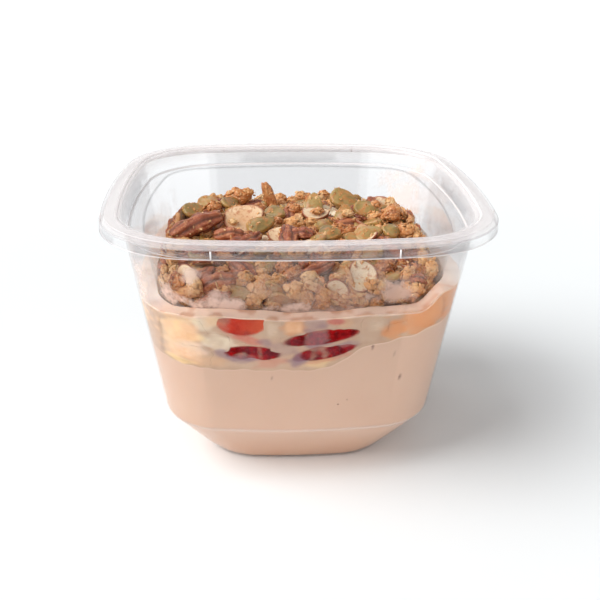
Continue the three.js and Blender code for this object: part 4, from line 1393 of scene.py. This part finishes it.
def filler_spots(taken):
    """Pieces that fill the heap between the others, a little lower, and against the tray's wall."""
    draw = random.Random(7).random
    spots = []

    def fill(at, part):
        """A drawn piece there, if nothing is too near."""
        kinds = FILLERS[part]["kinds"]
        if clear_of(taken, at) >= FILLERS[part]["clear"]:
            spots.append(drawn_spot(draw, kinds[int(draw() * len(kinds))], at, part))

    half, pitch, scatter = FILLER_GRID["half"], FILLER_GRID["pitch"], FILLER_GRID["scatter"]
    grid = np.arange(-half, half + 0.1, pitch)
    for row in grid:
        for column in grid:
            x = column + scatter * (draw() - 0.5)
            y = row + scatter * (draw() - 0.5)
            if squared(x, y) <= HEAP_REACH:
                fill((x, y, lying_height(draw, x, y, "top filler")), "top filler")
    for z, pull, count in FILLER_ROWS:
        loop = outline(inset(PAN_FOOT, pull - (z - PAN_FOOT[0]) * 0.1), 4, 4)
        for at in wall_places(draw, loop, count, z, 0.7):
            fill(at, "side filler")
    return spots


def seed_form(points, number):
    """A pumpkin seed: a plump flat teardrop with a soft raised rim and a dent or two."""
    x, y, z = points.T
    reach = np.hypot(x, y)
    plump = 0.78 + 0.25 * rising(reach, 0.7, 0.2) + 0.1 * (1 - reach)
    form = np.column_stack([x * 0.5, y * 0.5 * (1 - 0.35 * x), bulge(z, 0.75) * 0.5 * plump])
    form[:, 2] += 0.12 * np.sin(2.2 * x + number) * (1 - reach)
    return form * (1 + rough(points, 1.4, 0.09, number))[:, None]


def almond_form(points, number):
    """A sliced almond: an egg-shaped flake, cupped a little, with a thin rim."""
    x, y, z = points.T
    cupped = bulge(z, 0.35) * 0.42 + 0.5 * (x * x - 0.4)
    form = np.column_stack([x * 0.5, y * 0.5 * (1 - 0.22 * x), cupped])
    return form * (1 + rough(points, 1.6, 0.07, number)[:, None])


def sliver_form(points, number):
    """A split stick of almond."""
    x, y, z = points.T
    side = 0.4 * (1 - 0.3 * x)
    form = np.column_stack([bulge(x, 0.75) * 0.5, bulge(y, 0.5) * side, bulge(z, 0.5) * side])
    form[:, 2] += 0.1 * (x * x - 0.3)
    return form * (1 + rough(points * np.array([1, 3, 3]), 1.1, 0.16, number)[:, None])


def pecan_turn(points, number):
    """The direction of each point round a pecan's wavering length."""
    x, y, z = points.T
    return np.arctan2(z, y) + 0.25 * np.sin(3 * x + number)


def pecan_form(points, number):
    """Half a pecan: lobed along its back, broken and rough at one end."""
    x, y, z = points.T
    turn = pecan_turn(points, number)
    lobes = 1 - 0.2 * np.abs(np.cos(2.5 * turn)) ** 6 - 0.08 * np.abs(np.cos(6.5 * turn + 1)) ** 3
    pinch = 1 - 0.1 * np.cos(9 * x + number) * (1 - x * x)
    form = np.column_stack([np.clip(x, -0.86, 1) * 0.54, y * 0.5, z * 0.5])
    form[:, 1:] *= (lobes * pinch)[:, None]
    return form * (1 + rough(points, 2.6, 0.12, number)[:, None])


def cluster_shape(number):
    """Points and faces of oats baked together: a rough lump with flakes and grains stuck to it."""
    draw = random.Random(number).random
    lump, sides = ball(3)
    parts = [(lump * (0.36 * (1 + rough(lump, 1.5, 0.35, number)))[:, None], sides)]
    for level, count, reach, size in CLUSTER_BITS:
        bead, sides = ball(level)
        for i in range(count):
            rise = 1 - 2 * (i + 0.5) / count
            turn = 2.4 * i + number
            away = Vector((math.cos(turn), math.sin(turn), 0)) * math.sqrt(1 - rise * rise)
            away.z = rise
            spin = away.to_track_quat("Z", "Y").to_matrix()
            spin = spin @ Matrix.Rotation(1.1 * (draw() - 0.5), 3, "X")
            spin = spin @ Matrix.Rotation(6.3 * draw(), 3, "Z")
            flake = bead * np.array(size) * (0.75 + 0.6 * draw())
            flake[:, 2] += 1.4 * flake[:, 0] ** 2
            place = np.array(away) * reach * (0.85 + 0.3 * draw())
            parts.append((flake @ np.array(spin).T + place, sides))
    return together(parts)


# How each kind of piece is shaped from a ball, the ball's level, and how many differ
FORMS = {
    "seed": (seed_form, 4, 4),
    "almond": (almond_form, 4, 4),
    "pecan": (pecan_form, 4, 4),
    "cluster": (None, None, 6),
    "sliver": (sliver_form, 3, 4),
}


def grooves(kind, points, form, number):
    """How dark the hollows are at each point: painted shade on a cluster, dark skin and shade on a
    pecan.
    """
    if kind == "pecan":
        return np.abs(np.cos(2.5 * pecan_turn(points, number))) ** 8
    if kind == "cluster":
        return 0.7 * np.clip((0.4 - np.linalg.norm(form, axis=1)) / 0.12, 0, 1)
    return np.zeros(len(points))


def gathered(name, meshes):
    """A collection with an object for each mesh."""
    shapes = bpy.data.collections.new(name)
    bpy.context.scene.collection.children.link(shapes)
    for mesh in meshes:
        shapes.objects.link(bpy.data.objects.new(mesh.name, mesh))
    return shapes


def granola_shapes(kind):
    """A few different pieces of one kind, each about its own middle and one unit long."""
    shape_of, level, count = FORMS[kind]
    meshes = []
    for number in range(1, count + 1):
        if kind == "cluster":
            points, faces = cluster_shape(number)
            form = points
        else:
            points, faces = ball(level)
            form = shape_of(points, number)
        reach = np.hypot(points[:, 0], points[:, 1])
        marks = {
            "skin": SKIN_SHARE.get(kind, 0) * rising(reach, 0.88, 0.1),
            "groove": grooves(kind, points, form, number),
        }
        meshes.append(mesh_of(f"{kind}_shape_{number - 1}", form, faces, marks))
    return gathered(kind + "_shapes", meshes)


def crumb_shapes():
    """A few small flat-sided crumbs."""
    meshes = []
    for i, size in enumerate(CRUMB_SIZES):
        points, faces = ball(2 if i == 2 else 1)
        form = points * np.array(size) * (1 + rough(points, 1.5, 0.5, i))[:, None]
        meshes.append(mesh_of(f"crumb_{i}", form, faces, soft=False))
    return gathered("crumb_shapes", meshes)


class Growth(Graph):
    """A tree that lays shapes on the geometry it is given, in a finish, as a plain mesh."""

    def __init__(self, name, inputs):
        super().__init__(bpy.data.node_groups.new(name, "GeometryNodeTree"))
        face = self.tree.interface
        inputs = {"Geometry": "Geometry", "Shapes": "Collection", **inputs, "Finish": "Material"}
        for label, kind in inputs.items():
            face.new_socket(label, in_out="INPUT", socket_type="NodeSocket" + kind)
        face.new_socket("Geometry", in_out="OUTPUT", socket_type="NodeSocketGeometry")
        self.sockets = self.tree.nodes.new("NodeGroupInput").outputs

    def given(self, name):
        return Wire(self, self.sockets[name])

    def worn(self, name, kind):
        """A named attribute of the points."""
        return self.add("GeometryNodeInputNamedAttribute", {"data_type": kind}, {"Name": name})

    def drawn(self, low, high):
        """A random number, or vector, between two for each point."""
        vector = isinstance(low, tuple)
        kind, first, output = ("FLOAT_VECTOR", 0, 0) if vector else ("FLOAT", 2, 1)
        sockets = {first: low, first + 1: high, "Seed": self.given("Seed")}
        return self.add("FunctionNodeRandomValue", {"data_type": kind}, sockets, output)

    def laid(self, points, turn, size, pick=None):
        """One of the shapes on each point."""
        sockets = {
            "Collection": self.given("Shapes"),
            "Separate Children": True,
            "Reset Children": True,
        }
        shapes = self.add("GeometryNodeCollectionInfo", sockets=sockets)
        turned = self.add("FunctionNodeEulerToRotation", sockets={"Euler": turn})
        sockets = {
            "Points": points,
            "Instance": shapes,
            "Pick Instance": True,
            "Rotation": turned,
            "Scale": size,
        }
        if pick:
            sockets["Instance Index"] = pick
        return self.add("GeometryNodeInstanceOnPoints", sockets=sockets)

    def done(self, laid):
        """The tree, ended by real geometry in the given finish."""
        real = self.add("GeometryNodeRealizeInstances", sockets={"Geometry": laid})
        sockets = {"Geometry": real, "Material": self.given("Finish")}
        finished = self.add("GeometryNodeSetMaterial", sockets=sockets)
        self.add("NodeGroupOutput", sockets={"Geometry": finished})
        return self.tree


def lay_tree():
    """A tree that lays one of the given shapes on each point, by its turn, size and pick."""
    growth = Growth("lay_pieces", {"Scale": "Float"})
    size = growth.add(
        "ShaderNodeVectorMath",
        {"operation": "SCALE"},
        {0: growth.worn("size", "FLOAT_VECTOR"), "Scale": growth.given("Scale")},
    )
    turn = growth.worn("turn", "FLOAT_VECTOR")
    pick = growth.worn("pick", "INT")
    return growth.done(growth.laid(growth.given("Geometry"), turn, size, pick))


def crumb_tree():
    """A tree that scatters crumbs on the upper faces of what it is given and keeps only them."""
    growth = Growth("scatter_crumbs", {"Density": "Float", "Seed": "Int"})
    normal = growth.add("GeometryNodeInputNormal")
    rise = growth.add("ShaderNodeSeparateXYZ", sockets={0: normal}, output="Z")
    sockets = {"A": rise, "B": CRUMB_SLOPE}
    upper = growth.add("FunctionNodeCompare", {"operation": "GREATER_THAN"}, sockets)
    sockets = {
        "Mesh": growth.given("Geometry"),
        "Selection": upper,
        "Density": growth.given("Density"),
        "Seed": growth.given("Seed"),
    }
    points = growth.add("GeometryNodeDistributePointsOnFaces", sockets=sockets)
    turn = growth.drawn((0, 0, 0), (CRUMB_TURN,) * 3)
    laid = growth.laid(points, turn, growth.drawn(*CRUMB_SCALES))
    toned = growth.add(
        "GeometryNodeStoreNamedAttribute",
        {"data_type": "FLOAT", "domain": "INSTANCE"},
        {"Geometry": laid, "Name": "tone", "Value": growth.drawn(0.0, 1.0)},
    )
    return growth.done(toned)


def kept_in_pan(mesh):
    """Press whatever would cross the tray's walls or floor back inside them."""
    flat = np.empty(len(mesh.vertices) * 3, np.float32)
    mesh.vertices.foreach_get("co", flat)
    points = flat.reshape(-1, 3).astype(float) / MM
    floor = PAN_FOOT[0] + TRAY_WALL + PAN_CLEAR["floor"]
    bend = PAN_FOOT_ROUND - np.clip(points[:, 2] - floor, 0, PAN_FOOT_ROUND)
    hollow = PAN_FOOT_ROUND - np.sqrt(PAN_FOOT_ROUND**2 - bend**2)
    section = pan_at(np.clip(points[:, 2], PAN_FOOT[0], PAN_TOP[0]))
    section[1:] -= TRAY_WALL + PAN_CLEAR["side"] + hollow
    for _ in range(4):
        points[:, 1] = np.maximum(points[:, 1], -wall_reach(section, points[:, 0]))
        points[:, :2] = np.column_stack([-points[:, 1], points[:, 0]])
    points[:, 2] = np.maximum(points[:, 2], floor)
    mesh.vertices.foreach_set("co", (points * MM).astype(np.float32).ravel())
    mesh.update()


def grown(name, mesh, tree, values):
    """The plain mesh that a tree makes on another, kept in the pan; the shapes it laid go."""
    holder = bpy.data.objects.new(name + "_under", mesh)
    bpy.context.scene.collection.objects.link(holder)
    modifier = holder.modifiers.new("grow", "NODES")
    modifier.node_group = tree
    for item in tree.interface.items_tree:
        if item.in_out == "INPUT" and item.name in values:
            modifier[item.identifier] = values[item.name]
    graph = bpy.context.evaluated_depsgraph_get()
    plain = bpy.data.meshes.new_from_object(holder.evaluated_get(graph), depsgraph=graph)
    for made in (holder, *values["Shapes"].objects):
        bpy.data.objects.remove(made)
    bpy.data.collections.remove(values["Shapes"])
    plain.name = name
    if not plain.materials:
        plain.materials.append(values["Finish"])
    kept_in_pan(plain)
    return seated(bpy.data.objects.new(name, plain), "granola")


def painted_wall_light(reach):
    """How much painted light lifts what lies so far out in the heap, by the tray's wall, in shade.
    """
    return rising(reach, PAINTED_WALL_LIGHT["from"], PAINTED_WALL_LIGHT["over"])


def laid_pieces(name, kind, spots, material, tree):
    """All these pieces of one kind as one plain mesh."""
    shapes = granola_shapes(kind)
    draw = random.Random(len(spots)).random
    marks = {"turn": [], "size": [], "pick": [], "tone": []}
    for _, at, turn, tip, roll, size in spots:
        spin = Matrix.Rotation(math.radians(turn), 3, "Z")
        spin = spin @ Matrix.Rotation(math.radians(roll), 3, "Y")
        spin = spin @ Matrix.Rotation(math.radians(tip), 3, "X")
        marks["turn"].append(tuple(spin.to_euler("XYZ")))
        marks["size"].append(size)
        marks["pick"].append(int(draw() * len(shapes.objects)))
        # Painted light: pieces by the tray's wall, seen in shade, are made paler.
        side = painted_wall_light(max(abs(at[0]), abs(at[1])))
        marks["tone"].append(draw() * (1 - PAINTED_WALL_LIGHT["hides"] * side) + PAINTED_WALL_LIGHT["pale"] * side)
    points = mesh_of(name + "_points", [spot[1] for spot in spots], marks=marks)
    return grown(name, points, tree, {"Shapes": shapes, "Scale": 1.0, "Finish": material})


def scattered_crumbs(name, under, density, start, material, tree):
    """Crumbs on the upper faces of the pieces under them, as one plain mesh."""
    values = {
        "Shapes": crumb_shapes(),
        "Density": density / MM**2,
        "Seed": start,
        "Finish": material,
    }
    return grown(name, under.data.copy(), tree, values)


def make_heap_core(material):
    """The mass of oats under the pieces that show: dark as painted shade between them, and painted
    lighter low in the pan and by the tray's wall, where it is seen in shade.
    """
    loops = []
    for pull, height in CORE_RINGS:
        x, y, z = outline(at_height(inset(PAN_FOOT, pull), height), 24, 16).T
        lump = np.sin(0.31 * x + 1.3) * np.cos(0.27 * y - 0.4) + 0.5 * np.sin(0.5 * (x + y))
        shrink = 1 - HEAP["wander"] * (1 + np.sin(5 * np.arctan2(y, x) + 1))
        rise = np.where(z < CORE_FOOT + 3, 0, HEAP["waver"] * lump + HEAP["lift"] * y)
        loops.append(np.column_stack([x * shrink, y * shrink, z + rise]))
    points, faces = skin(loops)
    uneven = rough(points, 0.35, 0.8, 3)
    points[:, 2] += np.where(points[:, 2] > CORE_FOOT + 1, uneven, 0)
    # Painted light, in patches, low in the pan, on the sole and by the tray's wall.
    low = 1 - rising(points[:, 2], *CORE_PAINTED_LIGHT["low"])
    edge = painted_wall_light(np.abs(points[:, :2]).max(axis=1))
    sole = 1 - rising(points[:, 2], *CORE_PAINTED_LIGHT["sole"])
    milky = low * (0.8 + 1.2 * clouds(points, 0.12, (5, 2, 9))) + 0.25 + 0.7 * sole
    zero = np.zeros(len(points))
    marks = {"tone": np.clip(milky * edge, 0, 1), "groove": zero, "skin": zero}
    return piece("granola_core", (points, faces), material, "granola", ["granola"], marks)


def granola_finishes():
    """The baked finish of each kind of piece and of the core."""
    return {
        "seed": baked_finish(
            "pumpkin_seed",
            [(114, 90, 42), (146, 120, 62), (178, 146, 88), (180, 128, 70)],
            roughness=0.34,
            grain_per_mm=0.42,
            depth_mm=0.45,
            coat=0.35,
            marks=(0.46, 0.58, (182, 118, 58), 0.75),
            rim=(186, 146, 82),
        ),
        "almond": baked_finish(
            "almond",
            [(216, 170, 128), (236, 212, 176), (244, 228, 200)],
            roughness=0.5,
            grain_per_mm=0.7,
            depth_mm=0.2,
            coat=0.1,
            marks=(0.52, 0.64, (184, 112, 74), 0.65),
            rim=(150, 82, 52),
        ),
        "pecan": baked_finish(
            "pecan",
            [(122, 54, 30), (160, 82, 50), (192, 116, 76)],
            roughness=0.36,
            grain_per_mm=0.8,
            depth_mm=0.6,
            coat=0.22,
            marks=(0.5, 0.64, (214, 146, 98), 0.55),
        ),
        "cluster": baked_finish(
            "oat_cluster",
            [(160, 86, 40), (204, 130, 72), (222, 160, 100), (234, 194, 142)],
            roughness=0.45,
            grain_per_mm=1.2,
            depth_mm=0.4,
            coat=0.2,
            marks=(0.52, 0.66, (240, 210, 164), 0.6),
        ),
        "sliver": baked_finish(
            "almond_sliver",
            [(180, 106, 58), (208, 146, 92), (232, 196, 150)],
            roughness=0.48,
            grain_per_mm=0.8,
            depth_mm=0.45,
            coat=0.1,
            marks=(0.48, 0.62, (164, 88, 46), 0.7),
        ),
        # The core's darkest colour is painted shade for the gaps deep in the heap, its lightest
        # painted light
        "core": baked_finish(
            "granola_core",
            [(88, 54, 32), (134, 94, 70), (188, 150, 132), (230, 208, 194)],
            roughness=0.7,
            grain_per_mm=0.9,
            depth_mm=0.6,
            coat=0,
        ),
    }


def make_granola():
    """The heap: its core, the pieces of each kind and the crumbs on them."""
    finishes = granola_finishes()
    core = make_heap_core(finishes["core"])
    spots = [*heap_spots(), *CAUGHT]
    spots += filler_spots(spots)
    lay, scatter = lay_tree(), crumb_tree()
    crumb = finishes["cluster"]
    for number, kind in enumerate(PIECES):
        chosen = [spot for spot in spots if spot[0] == kind]
        for part, start in enumerate(range(0, len(chosen), MOST_IN_A_PIECE)):
            few = chosen[start : start + MOST_IN_A_PIECE]
            laid = laid_pieces(f"granola_{kind}_{part + 1}", kind, few, finishes[kind], lay)
            name = f"crumbs_on_{kind}_{part + 1}"
            scattered_crumbs(name, laid, CRUMBS[kind], number + part, crumb, scatter)
    scattered_crumbs("crumbs_on_core", core, CORE_CRUMBS, 9, crumb, scatter)


def make_floor():
    """The white floor that the cup is seen on, which is no part of it."""
    half = FLOOR_HALF
    floor = bpy.data.meshes.new("floor")
    corners = [(-half, -half, 0), (half, -half, 0), (half, half, 0), (-half, half, 0)]
    floor.from_pydata(corners, [], [(0, 1, 2, 3)])
    floor.materials.append(floor_finish())
    ground = bpy.data.objects.new("floor", floor)
    bpy.context.scene.collection.objects.link(ground)


def make_light():
    """A soft window at the left, two cards, and a room that is brighter seen than it lights."""
    world = bpy.data.worlds.new("studio")
    bpy.context.scene.world = world
    world.use_nodes = True
    room = Graph(world.node_tree)
    room.tree.nodes.clear()
    mirrored = room.add("ShaderNodeLightPath", output="Is Glossy Ray")
    seen = room.add("ShaderNodeLightPath", output="Is Camera Ray")
    strength = ROOM_GLOW + SEEN_GLOW * (mirrored + seen)
    glow = room.add("ShaderNodeBackground", sockets={"Color": (1, 1, 1, 1), "Strength": strength})
    room.add("ShaderNodeOutputWorld", sockets={"Surface": glow})
    for name, (kind, place, power, settings) in LAMPS.items():
        light = bpy.data.lights.new(name, kind)
        light.energy = power
        for key, value in settings.items():
            setattr(light, key, value)
        lamp = bpy.data.objects.new(name, light)
        lamp.location = place
        aim = Vector(LAMP_AIM) - Vector(place)
        lamp.rotation_euler = aim.to_track_quat("-Z", "Y").to_euler()
        bpy.context.scene.collection.objects.link(lamp)


def make_camera():
    """The photograph's camera."""
    camera = bpy.data.cameras.new("camera")
    camera.lens = CAMERA["lens"]
    camera.sensor_width = CAMERA["sensor"]
    camera.clip_start = CAMERA["near"] * MM
    camera.clip_end = CAMERA["far"] * MM
    right = Vector(CAMERA_RIGHT).normalized()
    forward = Vector(CAMERA_FORWARD).normalized()
    spin = Matrix((right, right.cross(forward), -forward)).transposed()
    eye = bpy.data.objects.new("camera", camera)
    eye.matrix_world = Matrix.Translation(Vector(CAMERA["place"]) * MM) @ spin.to_4x4()
    bpy.context.scene.collection.objects.link(eye)
    bpy.context.scene.camera = eye
    bpy.context.scene.view_settings.view_transform = "Standard"
    bpy.context.scene.cycles.transparent_max_bounces = 32


make_floor()
make_light()
make_camera()
make_tub()
make_tray()
wall = WallStack(tub_at, YOGURT_INSET, 1.5, MOUTH[0])
make_yogurt(wall)
make_fruit_layer(wall)
make_fruit()
make_granola()
